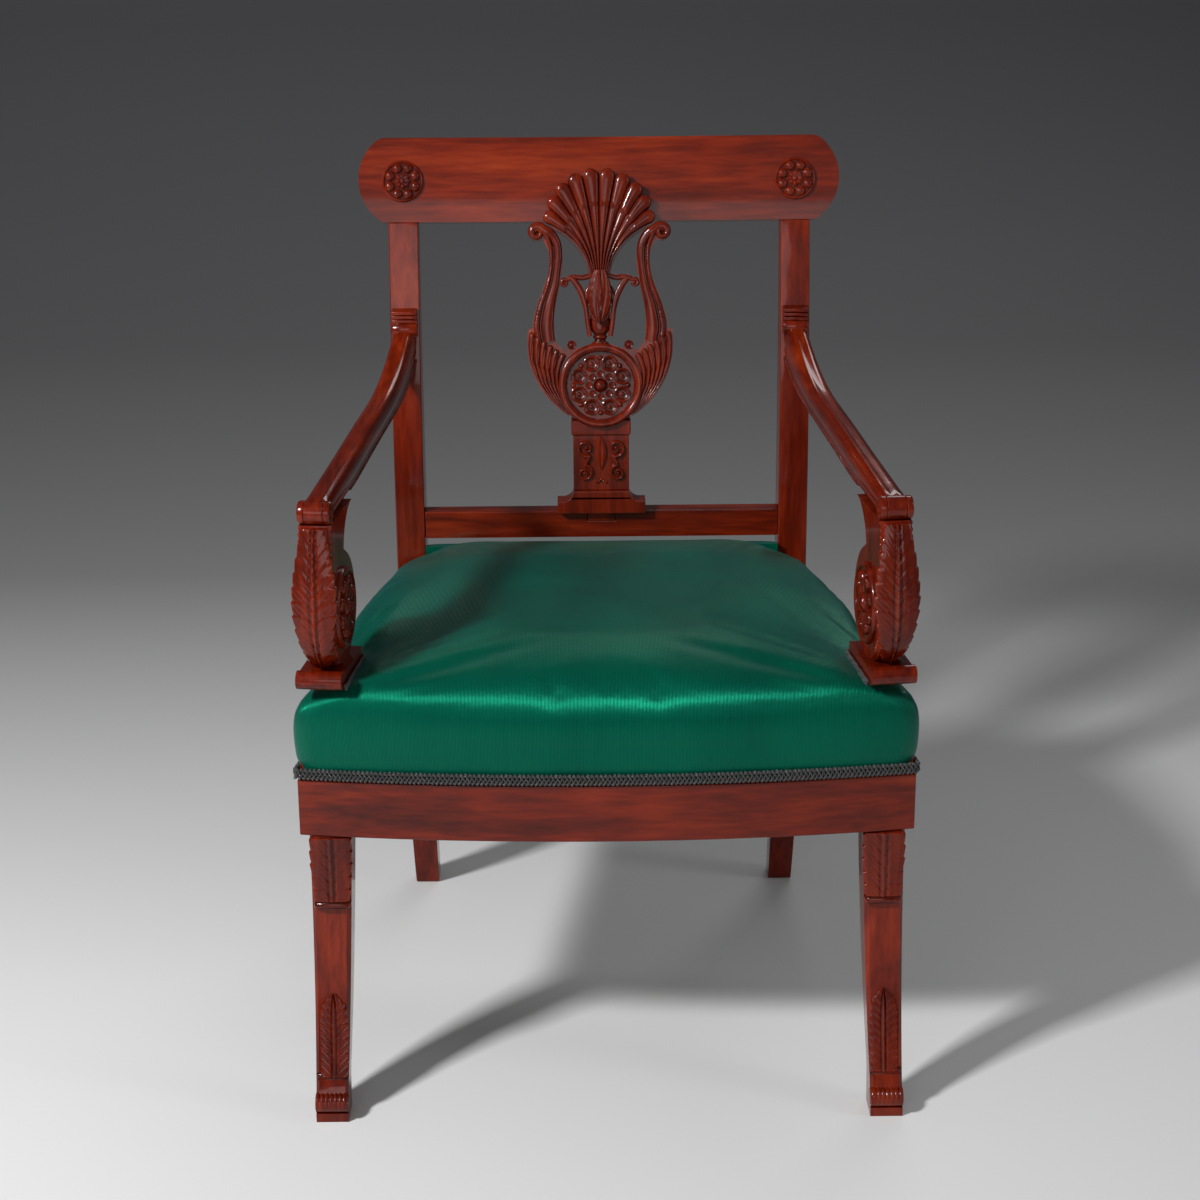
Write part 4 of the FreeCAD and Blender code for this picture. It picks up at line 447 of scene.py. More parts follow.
def lyre_arms(wood):
    """The lyre's two arms, each with a rounded outer half, a groove and a row of leaves."""
    work = Work()
    path = [(61, -134), (63.2, -118), (60.4, -97), (52.6, -69), (49.6, -50), (48.9, -37), (50.6, -24.5),
            (56.5, -13.5)]
    wide = [21, 22.4, 19.6, 14.4, 13.2, 14.6, 15.0, 13.4]
    for k in range(16):
        angle = math.radians(150 - k * 32)
        reach = 7.8 - 0.38 * k
        path.append((69.5 + reach * math.cos(angle), -13.0 + reach * math.sin(angle)))
        wide.append(11.6 - 0.62 * k)
    line = smooth(np.column_stack([path, wide]), 150)

    def rise(s, t):
        coil = np.clip((s - 0.62) / 0.1, 0, 1)
        groove = 2.2 * np.exp(-((t - 0.30) / 0.09) ** 2) * (1 - coil)
        outer = 4.4 * arch((t + 0.34) / 0.66) * (t < 0.28)
        leaves = (2.3 + 0.9 * np.abs(np.sin(s * 150))) * arch((t - 0.66) / 0.34) * (t > 0.32)
        return (outer + leaves) * (1 - coil) + (5.2 * arch(t) + 1.5 * coil) * coil - groove + 1.3

    sweep(work, leaning, line[:, :2], -line[:, 2] / 2, 25, rise, -4.0)
    lathe(work, moved(leaning, 69.5, -13), dome(3.4, 3.4, 6, 0.5), 20)
    work.mirrored()
    work.make("lyre_arm_carving", wood, sharp=50)


def lyre_reeding(wood):
    """Six reeds a side that start at the rim of the bowl and draw together under the ring."""
    work = Work()
    outer = np.array([(38.5, -214.5), (73.6, -171.5), (79.8, -124.5)])
    inner = np.array([(32.0, -211.0), (46.0, -183.0), (39.2, -152.5)])
    for k in range(6):
        left = outer + (inner - outer) * (k + 0.04) / 6
        right = outer + (inner - outer) * (k + 0.96) / 6
        lobe(work, leaning, left, right, 4.7, 1.1, 30)
    work.mirrored()
    work.make("bowl_reeds", wood, sharp=55)


def ring_moulding(wood, painted_shade_wood):
    """The round frame of the patera, with a flat polished face and a fine beaded edge."""
    work = Work()
    turn = circle(120)
    stations = [(47.2, 1.0), (47.3, 4.6), (46.7, 6.0), (45.3, 6.9), (43.6, 7.2), (41.6, 6.9), (40.4, 5.9),
                (40.0, 4.6), (39.2, 4.3), (38.8, 3.0), (38.6, -3.6), (45.0, -3.6)]
    rows = [leaning(r * np.cos(turn), r * np.sin(turn) + RING_V, h) for r, h in stations]
    work.grid(rows, around=True, along=True, turned=True)
    work.make("lyre_ring", wood, sharp=35)
    work = Work()
    for k in range(84):
        angle = 2 * math.pi * k / 84
        spot = moved(leaning, 38.9 * math.cos(angle), 38.9 * math.sin(angle) + RING_V)
        lathe(work, spot, dome(1.35, 1.5, 3, -1.0), 8)
    shift = 3.4 * MM
    work.points = [p + np.array([0, -shift * math.cos(LEAN), shift * math.sin(LEAN)]) for p in work.points]
    # The beads take the darker copy of the wood, as painted shade along the ring's inner edge.
    work.make("ring_beads", painted_shade_wood, sharp=60)


def patera(wood):
    """Eight dished petals and eight small ones about a domed centre, sunk in the ring."""
    work = Work()

    def at(angle, orbit):
        return moved(leaning, orbit * math.cos(angle), orbit * math.sin(angle) + RING_V, -2)

    turn = circle(96)
    ground = [(39.0, -4.2), (39.0, -2.2), (36, -2.0), (8, -2.0), (0.5, -1.9)]
    rows = [leaning(r * np.cos(turn), r * np.sin(turn) + RING_V, h) for r, h in ground]
    work.grid(rows, around=True, caps=True, turned=True)
    petal = [(9.3, -0.5), (9.5, 1.6), (9.1, 2.7), (8.2, 3.1), (7.3, 2.7), (6.2, 1.5), (4.6, 0.9), (2.9, 0.9),
             (2.4, 1.7), (1.5, 2.3), (0.1, 2.5)]
    small_petal = [(4.1, 0), (4.2, 1.8), (3.6, 2.7), (2.6, 2.2), (0.1, 1.7)]
    for k in range(8):
        angle = math.radians(22.5 + 45 * k)
        between = angle + math.radians(22.5)
        lathe(work, at(angle, 26.2), petal, 36, 5, 0.035)
        lathe(work, at(between, 30.8), dome(3.0, 2.7, 5, -0.5), 16)
        lathe(work, at(between, 13.0), small_petal, 18)
    lathe(work, at(0, 0), [(8.2, 0), (8.2, 2.2), (7.4, 3.1), (6.9, 2.6)] + dome(6.6, 6.4, 8, 2.4)[1:], 36)
    work.make("lyre_patera_carving", wood, replaces=["lyre_patera"], sharp=45)


def calyx(wood):
    """A turned cup and collar under a ribbed leaf, with two thin arches that end in scrolls."""
    work = Work()
    depth = 8.0

    def band(path, wide, top, low=-15.0, round_top=1.6, count=70):
        line = smooth(np.column_stack([path, wide]), count)
        sweep(work, leaning, line[:, :2], -line[:, 2] / 2, 11, lambda s, t: top + round_top * arch(t), low)

    spiral = []
    wide = []
    for k in range(13):
        angle = math.radians(130 - k * 34)
        reach = 4.6 - 0.26 * k
        spiral.append((39.0 + reach * math.cos(angle), -68.6 + reach * math.sin(angle)))
        wide.append(3.4 - 0.12 * k)
    band([(11.5, -128), (14.0, -112), (15.6, -97), (20.4, -80), (27.5, -67.5), (33.0, -62.6)] + spiral,
         [5.0, 5.4, 6.0, 7.0, 6.8, 5.4] + [w * 1.35 for w in wide], 0.6, count=110)
    band([(7.0, -70), (12.5, -76), (15.0, -84.0), (15.0, -92.0)], [5.6, 6.0, 5.6, 4.0], -0.4)
    band([(10.6, -60.5), (19.0, -62.6), (28.0, -61.4), (35.0, -62.6)], [5.6, 6.0, 5.2, 4.0], 0.2)
    lathe(work, moved(leaning, 39, -68.6), dome(2.2, 3.6, 6, 0), 18)
    for k in range(4):
        y = -84.0 - 7.4 * k
        wide_at = 15.0 - 1.3 * k
        line = [(3.4, y - 5.4), (wide_at * 0.66, y - 1.2), (wide_at * 0.94, y + 5.4)]
        band(line, [3.0, 4.6, 2.2], 0.4, -9, 2.4, 16)
    volute = [(5.2, 0.4), (5.3, 1.8), (4.4, 2.6), (3.2, 2.0), (2.4, 2.6), (1.2, 3.4), (0.1, 3.6)]
    lathe(work, moved(leaning, 32, -137.6), volute, 24)
    work.mirrored()

    u = np.linspace(0, 1, 40)[:, None]
    t = np.linspace(-1, 1, 25)[None]
    y = np.broadcast_to(-54.8 - 60.0 * u, (40, 27))
    half = 11.6 * np.clip(np.sin(np.pi * np.clip(u * 0.92 + 0.10, 0, 1)), 0, 1) ** 0.75 + 1.0
    half = half * (1 + 0.07 * np.abs(np.sin(u * 22)))
    ribs = 0.55 * np.abs(np.cos(t * 7.5 + u * 3))
    keel = 1.6 * np.exp(-(t / 0.11) ** 2)
    height = 4.2 + 3.4 * arch(t) * (0.55 + 0.45 * np.sin(np.pi * u)) + ribs + keel + 2.2 * (1 - u) ** 3
    height = np.concatenate([height, np.full((40, 2), -3.0)], 1)
    x = half * t
    work.grid(leaning(np.concatenate([x, x[:, -1:], x[:, :1]], 1), y, height), around=True, caps=True)

    cup = [(7.2, -141), (9.6, -138.5), (9.9, -135.8), (8.9, -134.2), (6.6, -133.4), (6.2, -131.8), (7.6, -130.2),
           (8.2, -128.6), (7.6, -127.2), (6.6, -126.3), (8.0, -124.0), (10.8, -120.6), (12.6, -116.5),
           (13.0, -112.6), (12.2, -109.0), (10.6, -107.4), (11.2, -106.0), (11.4, -104.2), (9.5, -102.4),
           (7.5, -98), (5, -90)]
    turn = circle(40)
    rows = [leaning(r * np.cos(turn), v, -depth + min(r, 9.0) * 0.95 * np.sin(turn)) for r, v in cup]
    work.grid(rows, around=True, caps=True)
    ball = [(0.2, -1.7), (1.4, -0.9), (1.7, 0), (1.4, 0.9), (0.2, 1.7)]
    for k in range(7):
        angle = math.radians(20 + k * 23.3)
        x, z = 9.2 * math.cos(angle), -depth + 8.4 * math.sin(angle)
        lathe(work, lambda p, q, r: leaning(p + x, r - 137.2, z + q), ball, 10)
    work.make("calyx_carving", wood, replaces=["lyre_calyx"], sharp=50)


def shell(wood):
    """A fan of ten convex flutes on a stem, each with a step across it near the rim."""
    work = Work()
    count = 10
    rim = []
    for k in range(count + 1):
        angle = math.radians(90 + 190 * (k / count - 0.5))
        share = 1 - 2 * k / count
        tip = np.array([math.cos(angle) * 55.0, math.sin(angle) * 50.0])
        root = np.array([share * 9.6, -62.0])
        bend = np.array([share * 13.4, -24.0])
        rim.append((root, root / 4 + bend / 2 + tip / 4, tip))
    for one, two in zip(rim[:-1], rim[1:]):
        lobe(work, leaning, one, two, 6.8, 1.4, 44, 0.66, 0.62)
    work.make("shell_carving", wood, sharp=50)


def rosette(work, place, radius, beads=8):
    """A moulded disc with domed beads round a small textured flower."""
    rim = [(radius, -3.5), (radius, 1.6), (radius - 0.8, 3.0), (radius - 2.0, 3.6), (radius - 2.8, 3.0),
           (radius - 3.2, 2.2), (0.2, 2.2)]
    lathe(work, place, rim, 72)
    for k in range(beads):
        angle = math.radians(22.5 + 360 / beads * k)
        cx, cy = radius * 0.655 * math.cos(angle), radius * 0.655 * math.sin(angle)
        lathe(work, moved(place, cx, cy), dome(radius * 0.245, radius * 0.20, 8, -0.5, 2.2), 28)
    flower = [(radius * 0.36, 2.0), (radius * 0.36, 3.6), (radius * 0.30, 5.0), (radius * 0.2, 4.6)]
    lathe(work, place, flower, 40, 8, 0.10)
    for k in range(8):
        angle = 2 * math.pi * k / 8
        cx, cy = radius * 0.22 * math.cos(angle), radius * 0.22 * math.sin(angle)
        lathe(work, moved(place, cx, cy), dome(radius * 0.085, 1.6, 4, -1, 4.4), 10)
    lathe(work, place, dome(radius * 0.13, 2.6, 5, -1, 4.4), 16)


def crest_rosettes(wood):
    """A rosette near each end of the crest rail, tilted to the bow of its face."""
    work = Work()
    out, bow, half = 218.5, 8.0, 267.5
    tilt = 2 * bow * out / half**2
    rosette(work, lambda x, y, z: leaning(x + out - z * tilt, y + 45, z + 0.4 + x * tilt), 23.0)
    work.mirrored()
    work.make("crest_rosette_carving", wood, replaces=["crest_rosettes"], sharp=45)


def plinth_scrolls(wood):
    """Two mirrored scrolls and a lancet leaf in low relief on the lyre's plinth."""
    work = Work()
    eyes = ((16.8, 560.5), (19.0, 531.5))

    def face(x, z, out):
        return upright(x, 203.2 + 1.4 - out, z)

    def coil(cx, cz, start, reach):
        spots = []
        for k in range(28):
            share = k / 27
            angle = math.radians(start + 360 * 1.35 * share)
            r = reach * (1 - share * 0.82)
            spots.append((cx + r * math.cos(angle), cz + r * math.sin(angle)))
        return spots

    path = coil(*eyes[0], -110, 10.2)[::-1] + coil(*eyes[1], 100, 9.4)
    wide = np.interp(np.arange(len(path)), [0, 20, 28, 36, 55], [2.4, 3.4, 5.4, 3.4, 2.4])
    line = smooth(np.column_stack([path, wide]), 150)
    sweep(work, face, line[:, :2], line[:, 2] / 2, 9, lambda s, t: 0.2 + 3.1 * arch(t))
    for x, z in eyes:
        lathe(work, moved(face, x, z), dome(2.4, 3.0, 5, -1), 16)
    work.mirrored()
    u = np.linspace(0, 1, 26)[:, None]
    t = np.linspace(-1, 1, 15)[None]
    half = 6.6 * np.sin(np.pi * np.clip(u, 0.02, 0.98)) ** 0.8
    bow = 0.4 + 2.6 * arch(t) - 1.2 * np.exp(-(t / 0.12) ** 2) + 0.3 * np.cos(t * 16)
    height = bow * np.sin(np.pi * np.clip(u, 0.03, 0.97)) ** 0.4
    work.grid(face(half * t, 575 - 40 * u, height), caps=True)
    for k in range(-2, 3):
        lathe(work, moved(face, k * 2.6, 524 - abs(k) * 1.5), dome(1.7, 2.2, 4, -1), 10)
    work.make("plinth_scroll_carving", wood, sharp=50)


# Arms, their supports and the front legs.
def slab(work, place, low, high, ease=1.2):
    """A block with rounded edges."""
    (x0, y0, z0), (x1, y1, z1) = low, high
    rows = []
    ends = ((x0, ease), (x0 + ease * 0.3, ease * 0.3), (x0 + ease, 0))
    far_ends = ((x1 - ease, 0), (x1 - ease * 0.3, ease * 0.3), (x1, ease))
    for x, inset in ends + far_ends:
        ring = []
        for cy, cz, start in ((y1, z1, 0), (y0, z1, 90), (y0, z0, 180), (y1, z0, 270)):
            for k in range(4):
                angle = math.radians(start + k * 30)
                my = cy - math.copysign(inset + ease, cy - (y0 + y1) / 2)
                mz = cz - math.copysign(inset + ease, cz - (z0 + z1) / 2)
                ring.append((x, my + ease * math.cos(angle), mz + ease * math.sin(angle)))
        rows.append(ring)
    rows = np.array(rows)
    work.grid(place(rows[..., 0], rows[..., 1], rows[..., 2]), around=True, caps=True)


def arms(wood, painted_shade_wood):
    """Arms that sweep down from the stiles to a rolled end, with steps and a roll at the stile."""
    work = Work()
    top = smooth([(444, 702), (412, 689.5), (372, 672.5), (330, 659.5), (289, 651.5), (190, 643), (90, 634),
                  (0, 626), (-32, 622.4), (-41, 617)], 90)
    underside = [(412, 645), (372, 633.5), (330, 626.5), (289, 622.5), (190, 614), (90, 604.5)]
    low = smooth([(444, 657)] + underside + [(30, 601.5), (-32, 601.6), (-41, 607)], 90)
    angle = circle(64)
    c, s = np.cos(angle), np.sin(angle)
    across = 13.0 * np.sign(c) * np.abs(c) ** 0.62
    share = 0.5 + 0.5 * np.sign(s) * np.abs(s) ** 0.78
    groove = 1.5 * np.exp(-((angle - math.pi / 2 - 0.02) / 0.075) ** 2)
    edge = 1.1 * np.exp(-((angle - math.radians(188)) / 0.09) ** 2)
    y = low[:, None, 0] + (top - low)[:, None, 0] * share
    z = low[:, None, 1] + (top - low)[:, None, 1] * share - groove[None]
    x = np.broadcast_to(across + edge, y.shape)
    work.grid(splayed(x, y, z), around=True, caps=True)
    scroll = [(1.5, -15.6), (4.2, -16.4), (5.2, -15.4), (6.2, -15.0), (8.6, -16.0), (10.4, -15.4),
              (11.2, -13.6), (11.3, -10.0), (10.6, -9.2), (11.3, -8.4), (11.4, 8.4), (10.6, 9.2), (11.3, 10.0),
              (11.2, 13.6), (10.4, 15.4), (8.6, 16.0), (6.2, 15.0), (5.2, 15.4), (4.2, 16.4), (1.5, 15.6)]
    lathe(work, lambda p, q, r: splayed(r, p - 36, q + 612), scroll, 56)
    drum = [(2, -13.8), (5, -14.2), (6.0, -13.4), (8.4, -14.0), (9.4, -12.6)]
    drum += [(r, -level) for r, level in drum[::-1]]
    lathe(work, lambda p, q, r: upright(218.5 + r, 223.5 + p, 694 + q), drum, 44)
    for step in range(3):
        slab(work, upright, (204.6, 216.4 - step * 1.9, 701.5 + 5 * step), (232.4, 246, 706 + 5 * step), 1.3)
    work.mirrored()
    work.make("arms", wood, replaces=["left_arm", "right_arm"], sharp=38)
    work = Work()
    path = smooth([(440, 655.5)] + underside + [(60, 603)], 400)
    run = lengths(path)
    for at in np.arange(2, run[-1] - 2, 4.3):
        cy, cz = (np.interp(at, run, path[:, i]) for i in (0, 1))
        lathe(work, lambda p, q, r: splayed(-11.9 - r, p + cy, q + cz + 5.2), dome(1.7, 1.7, 3, -0.6), 8)
    work.mirrored()
    # The row of beads under each arm takes the darker copy of the wood, as painted shade.
    work.make("arm_beading", painted_shade_wood, sharp=60)


def leaf(work, path, normal, half, height, lobes, count=64, tip=0.0, place=splayed, middle=0.0):
    """An acanthus leaf down a curved face: feathered edges, a keel and slanting veins."""
    u = np.linspace(0, 1, count)[:, None]
    t = np.linspace(-1, 1, 33)[None]
    slant = lobes * u + 1.7 * np.abs(t)
    wave = (1 - (slant + 0.2) % 1) ** 0.7
    wide = np.interp(u[:, 0], np.linspace(0, 1, len(half)), half)[:, None] * (0.89 + 0.12 * wave[:, -1:])
    vein = 1.5 * np.abs(np.sin(np.pi * slant)) ** 0.7 * (0.3 + 0.7 * np.abs(t))
    vein = vein + 0.25 * np.cos(2 * np.pi * 3 * slant)
    bow = np.sqrt(np.clip(1 - 0.86 * t**2, 0, 1))
    keel = 1.3 * np.exp(-(t / 0.07) ** 2) - 1.0 * np.exp(-((np.abs(t) - 0.17) / 0.06) ** 2)
    lift = tip * np.clip(u - 0.78, 0, 1) ** 1.5 * 10 * bow
    out = height * bow * (0.75 + 0.25 * wave) + 0.62 * vein + keel + lift + 0.3
    spots = np.array([path(v) for v in u[:, 0]])
    away = np.array([normal(v) for v in u[:, 0]])
    x = middle + wide * t
    x = np.concatenate([x, x[:, -1:], x[:, :1]], 1)
    out = np.concatenate([out, np.full((count, 2), -3.0)], 1)
    y = spots[:, :1] + away[:, :1] * out
    z = spots[:, 1:] + away[:, 1:] * out
    work.grid(place(x, y, z), around=True, caps=True)


def support_leaves(wood):
    """The carved leaves on the front of the arm supports, and a small roll of leaf under them."""
    work = Work()

    radius, straight = 57, 0.62

    def turn(u):
        return math.radians(180 + (u - straight) / 0.38 * 52)

    def path(u):
        if u < straight:
            z = 600 - (600 - EYE_Z) * u / straight
            return (-radius + (z - EYE_Z) ** 2 / 664, z)
        return (radius * math.cos(turn(u)), EYE_Z + radius * math.sin(turn(u)))

    def normal(u):
        if u < straight:
            return (-0.985, -0.17 * (1 - u / straight))
        return (math.cos(turn(u)), math.sin(turn(u)))

    leaf(work, path, normal, [12.5, 15, 18, 20.5, 22, 21.5, 19, 16, 12.5, 8.5], 4.8, 11, 110, tip=0.2)
    for way in (-1, 1):
        line = [path(v) for v in np.linspace(0.02, 0.98, 46)]
        for k, (y, z) in enumerate(line[::2]):
            ny, nz = normal(0.02 + 0.96 * k * 2 / 45)
            y, z = y - ny * 5.4, z - nz * 5.4
            lathe(work, lambda p, q, r: splayed(way * (14.7 + r), p + y, q + z), dome(2.3, 1.7, 3, -0.6), 8)
    work.mirrored()
    work.make("support_leaf_carving", wood, sharp=58)


def scroll_rosettes(wood):
    """The petalled discs on the inner faces of the arms' scrolls."""
    work = Work()

    def place(x, y, z):
        return splayed(-15.4 - z, -x, y + EYE_Z)

    rim = [(40, -0.6), (40.2, 1.8), (39, 3.6), (37.2, 4.4), (35.6, 3.8), (34.6, 2.2), (32.8, 1.6), (6, 1.8),
           (0.2, 1.8)]
    lathe(work, place, rim, 96)
    for k in range(8):
        angle = math.radians(22.5 + 45 * k)
        way = np.array([math.cos(angle), math.sin(angle)])
        side = np.array([-way[1], way[0]])
        root, mid, head = way * 9, way * 19, way * 24
        lobe(work, place, [root + side * 2.0, mid + side * 6.2, head + side * 7.2],
             [root - side * 2.0, mid - side * 6.2, head - side * 7.2], 5.0, 1.8, 20, 0.55)
    lathe(work, place, [(9.6, 1.5), (9.8, 4.4), (8.6, 6.2), (7.0, 5.2)] + dome(6.4, 3.4, 6, -0.5, 5), 40)
    work.mirrored()
    work.make("scroll_rosette_carving", wood, replaces=["volute_rosettes"], sharp=45)


def knee_carving(wood):
    """The leaf at the top of each front leg, the sheath near its foot and the reeded toe."""
    work = Work()
    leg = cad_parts["right_front_leg"]
    middle = 270.5

    def face(z):
        hit, spot, _, _ = leg.ray_cast(Vector((middle * MM, -0.5, z * MM)), Vector((0, 1, 0)))
        if not hit:
            raise RuntimeError("the front leg has no face at %g mm" % z)
        return spot.y / MM

    knots = np.linspace(286, 44, 60)
    front = np.array([face(z) for z in knots])

    def at(z):
        return float(np.interp(-z, -knots, front))

    def slope(z):
        rise = (at(z + 4) - at(z - 4)) / 8
        size = math.hypot(1, rise)
        return (-1 / size, rise / size)

    def knee(u):
        return (at(285 - 66 * u) - 1.6, 285 - 66 * u)

    def sheath(u):
        return (at(124 - 80 * u), 124 - 80 * u)

    knee_half = [20.5, 21, 21, 20.5, 19.5, 18.5, 18]
    leaf(work, knee, lambda u: slope(285 - 66 * u), knee_half, 4.4, 5, 72, 0.5, upright, middle)
    slab(work, upright, (252.5, at(216) - 8.0, 211.5), (288.5, at(216) + 5, 219.5), 3.6)
    sheath_half = [2, 11, 13.4, 14, 14, 13.6, 13.6, 13.6, 14]
    leaf(work, sheath, lambda u: slope(124 - 80 * u), sheath_half, 2.2, 11, 72, 0, upright, 272.5)
    toe = [(3, -16.2), (7.6, -16.2), (9.2, -15.2)]
    for k in range(7):
        x = -13.4 + k * 4.45
        toe += [(9.7, x), (10.0, x + 1.2), (9.9, x + 2.4), (8.9, x + 3.4)]
    toe += [(9.2, 15.4), (7.6, 16.2), (3, 16.2)]
    lathe(work, lambda p, q, r: upright(274.6 + r, -290.2 + p, 18.6 + q), toe, 48)
    for k in range(3):
        z = 33 + k * 5.2
        y = at(max(z, 45))
        slab(work, upright, (259.6, y - 2.0 + 0.9 * max(45 - z, 0) / 12, z), (289.9, y + 5, z + 4), 1.6)
    work.mirrored()
    work.make("front_leg_carving", wood, sharp=55)


# The seat.
def outline(level, lobed, inset):
    """One contour of the cushion: lobed runs from 0 at the rails to 1 where the arms pinch it."""
    front, back, half = -245.0, 209.3, 300.0
    corner = half + lobed * (236 - half)
    waist = 286 + lobed * (229 - 286)
    hind = 235 - 5 * lobed
    bow = 24 * (1 - 0.2 * lobed)
    bulge = 262 + 4 * lobed
    keys = [(0, front - bow), (corner * 0.3, front - bow * 0.91), (corner * 0.6, front - bow * 0.64),
            (corner * 0.86, front - bow * 0.28), (corner - 9, front - bow * 0.04), (corner, front + 8),
            ((corner + waist) / 2 + 1 + 4 * lobed, -198), (waist, -148), ((waist + bulge) / 2 + 9 * lobed, -108),
            (bulge, -40), ((bulge + hind) / 2 + 4 * lobed, 60), (hind + 5 * (1 - lobed) - 4 * lobed, 146),
            (hind - 3 - 17 * lobed, 196 - 18 * lobed), (hind - 14 - 38 * lobed, back - 3 * lobed), (110, back),
            (0, back)]
    side = smooth(keys, 92)
    loop = np.vstack([side, (side[1:-1] * [-1, 1])[::-1]])
    centre = np.array([0, front + (back - front) * 0.62])
    toward = centre - loop
    loop = loop + toward * [inset / half, inset / (back - front) * 1.3]
    loop[:, 1] = np.minimum(loop[:, 1], back)
    return np.column_stack([loop, np.full(len(loop), level)])


def keep_clear(points):
    """Draws cloth out of the blocks and posts under the arm scrolls, and off the stiles."""
    side = np.sign(points[:, 0])
    dx, dy = np.abs(points[:, 0]) / MM - EYE_X, points[:, 1] / MM - EYE_Y
    lx = dx * math.cos(SPLAY) + dy * math.sin(SPLAY)
    ly = -dx * math.sin(SPLAY) + dy * math.cos(SPLAY)
    z = points[:, 2] / MM
    block_half, block_foot = 25.0, 439.6
    inside = (lx > -block_half) & (ly > -60) & (ly < 43.5) & (z > block_foot)
    lift = inside & (lx + block_half < (z - block_foot) * 1.5)
    lx = np.where(lift, -block_half, lx)
    z = np.where(inside & ~lift, block_foot, z)
    across = EYE_X + lx * math.cos(SPLAY) - ly * math.sin(SPLAY)
    points[:, 0] = np.where(lift, side * across * MM, points[:, 0])
    points[:, 2] = z * MM
    points[:, 1] = np.minimum(points[:, 1], 0.2094)
    return points


def stuffed(piece, swell):
    """Blows the cushion up a little, as tight cloth over stuffing, held where it is tacked down."""
    bpy.context.view_layer.objects.active = piece
    for other in bpy.context.selected_objects:
        other.select_set(False)
    piece.select_set(True)
    start = piece.data.copy()
    held = piece.vertex_groups.new(name="held")
    for point in start.vertices:
        x, y, z = point.co
        low = min(1.0, max(0.0, (0.392 - z) / 0.02))
        block = 1.0 if abs(x) > 0.222 and -0.285 < y < -0.14 and z > 0.415 else 0.0
        back = min(1.0, max(0.0, (y - 0.185) / 0.02))
        held.add([point.index], max(low, block, back), "REPLACE")
    cloth = piece.modifiers.new("Cloth", "CLOTH")
    pull = cloth.settings
    pull.effector_weights.gravity = 0
    pull.use_pressure = True
    pull.uniform_pressure_force = 4
    pull.vertex_group_mass = "held"
    pull.quality = 4
    pull.tension_stiffness = pull.compression_stiffness = 18
    pull.bending_stiffness = 0.6
    cloth.collision_settings.use_collision = False
    cloth.point_cache.frame_start = 1
    cloth.point_cache.frame_end = 16
    scene = bpy.context.scene
    for step in range(1, 15):
        scene.frame_set(step)
    shaped = piece.evaluated_get(bpy.context.evaluated_depsgraph_get()).to_mesh()
    count = len(shaped.vertices)
    new = np.empty(count * 3)
    shaped.vertices.foreach_get("co", new)
    old = np.empty(count * 3)
    start.vertices.foreach_get("co", old)
    new, old = new.reshape(-1, 3), old.reshape(-1, 3)
    piece.modifiers.remove(cloth)
    scene.frame_set(1)
    move = new - old
    far = np.linalg.norm(move, axis=1)[:, None]
    move *= np.minimum(1, swell * MM / np.maximum(far, 1e-9))
    points = keep_clear(old + move)
    piece.data.vertices.foreach_set("co", points.ravel())
    piece.data.update()


def cushion(cloth):
    """The seat: stuffed tight over the rails, lobed in front of and behind the arm scrolls."""
    work = Work()
    # Each contour's height, how far the arms pinch it, and how far it draws in over the crown.
    levels = [(345.6, 0, 0.8), (352, 0, 0.8), (359.8, 0, 0.6), (366, 0, -1.4), (378, 0, -2.6), (392, 0, -3.2),
              (406, 0.02, -3.2), (418, 0.08, -2.4), (427, 0.2, -0.6), (433.5, 0.42, 1.2), (438, 0.68, 3.5),
              (442.5, 0.88, 7), (447, 0.96, 12), (451.5, 1, 20), (455.2, 1, 31), (458.3, 1, 46), (461, 1, 66),
              (463.4, 1, 92), (465.2, 1, 122), (466.5, 1, 155), (467.2, 1, 190), (467.6, 1, 225), (467.8, 1, 258),
              (467.9, 1, 285)]
    rows = np.array([outline(*level) for level in levels]) * MM
    work.grid(rows, around=True, caps=True)
    points = np.vstack(work.points)
    for way in WAYS:
        away = points - np.array([way * 0.236, -0.150, 0.445])
        far = np.linalg.norm(away, axis=1)
        turn = np.arctan2(away[:, 1], -way * away[:, 0])
        folds = np.sin(turn * 13 + 0.6 * np.sin(turn * 5))
        fold = folds * np.exp(-far / 0.040) * (points[:, 2] > 0.437)
        points[:, 2] += 0.0022 * fold * np.clip(far / 0.02, 0, 1)
    work.points = [keep_clear(points)]
    piece = work.make("seat_cushion", cloth, replaces=["seat_cover", "seat_stuffing"], sharp=70)
    bpy.context.view_layer.objects.active = piece
    even = piece.modifiers.new("Even", "REMESH")
    even.mode = "VOXEL"
    even.voxel_size = 0.005
    even.use_smooth_shade = True
    deps = bpy.context.evaluated_depsgraph_get()
    fine = bpy.data.meshes.new_from_object(piece.evaluated_get(deps))
    piece.modifiers.clear()
    piece.data = fine
    stuffed(piece, 7)
    ease = piece.modifiers.new("Ease", "SMOOTH")
    ease.factor = 0.5
    ease.iterations = 4
    piece.data.shade_smooth()
    soft = piece.modifiers.new("Soft", "SUBSURF")
    soft.levels = soft.render_levels = 1


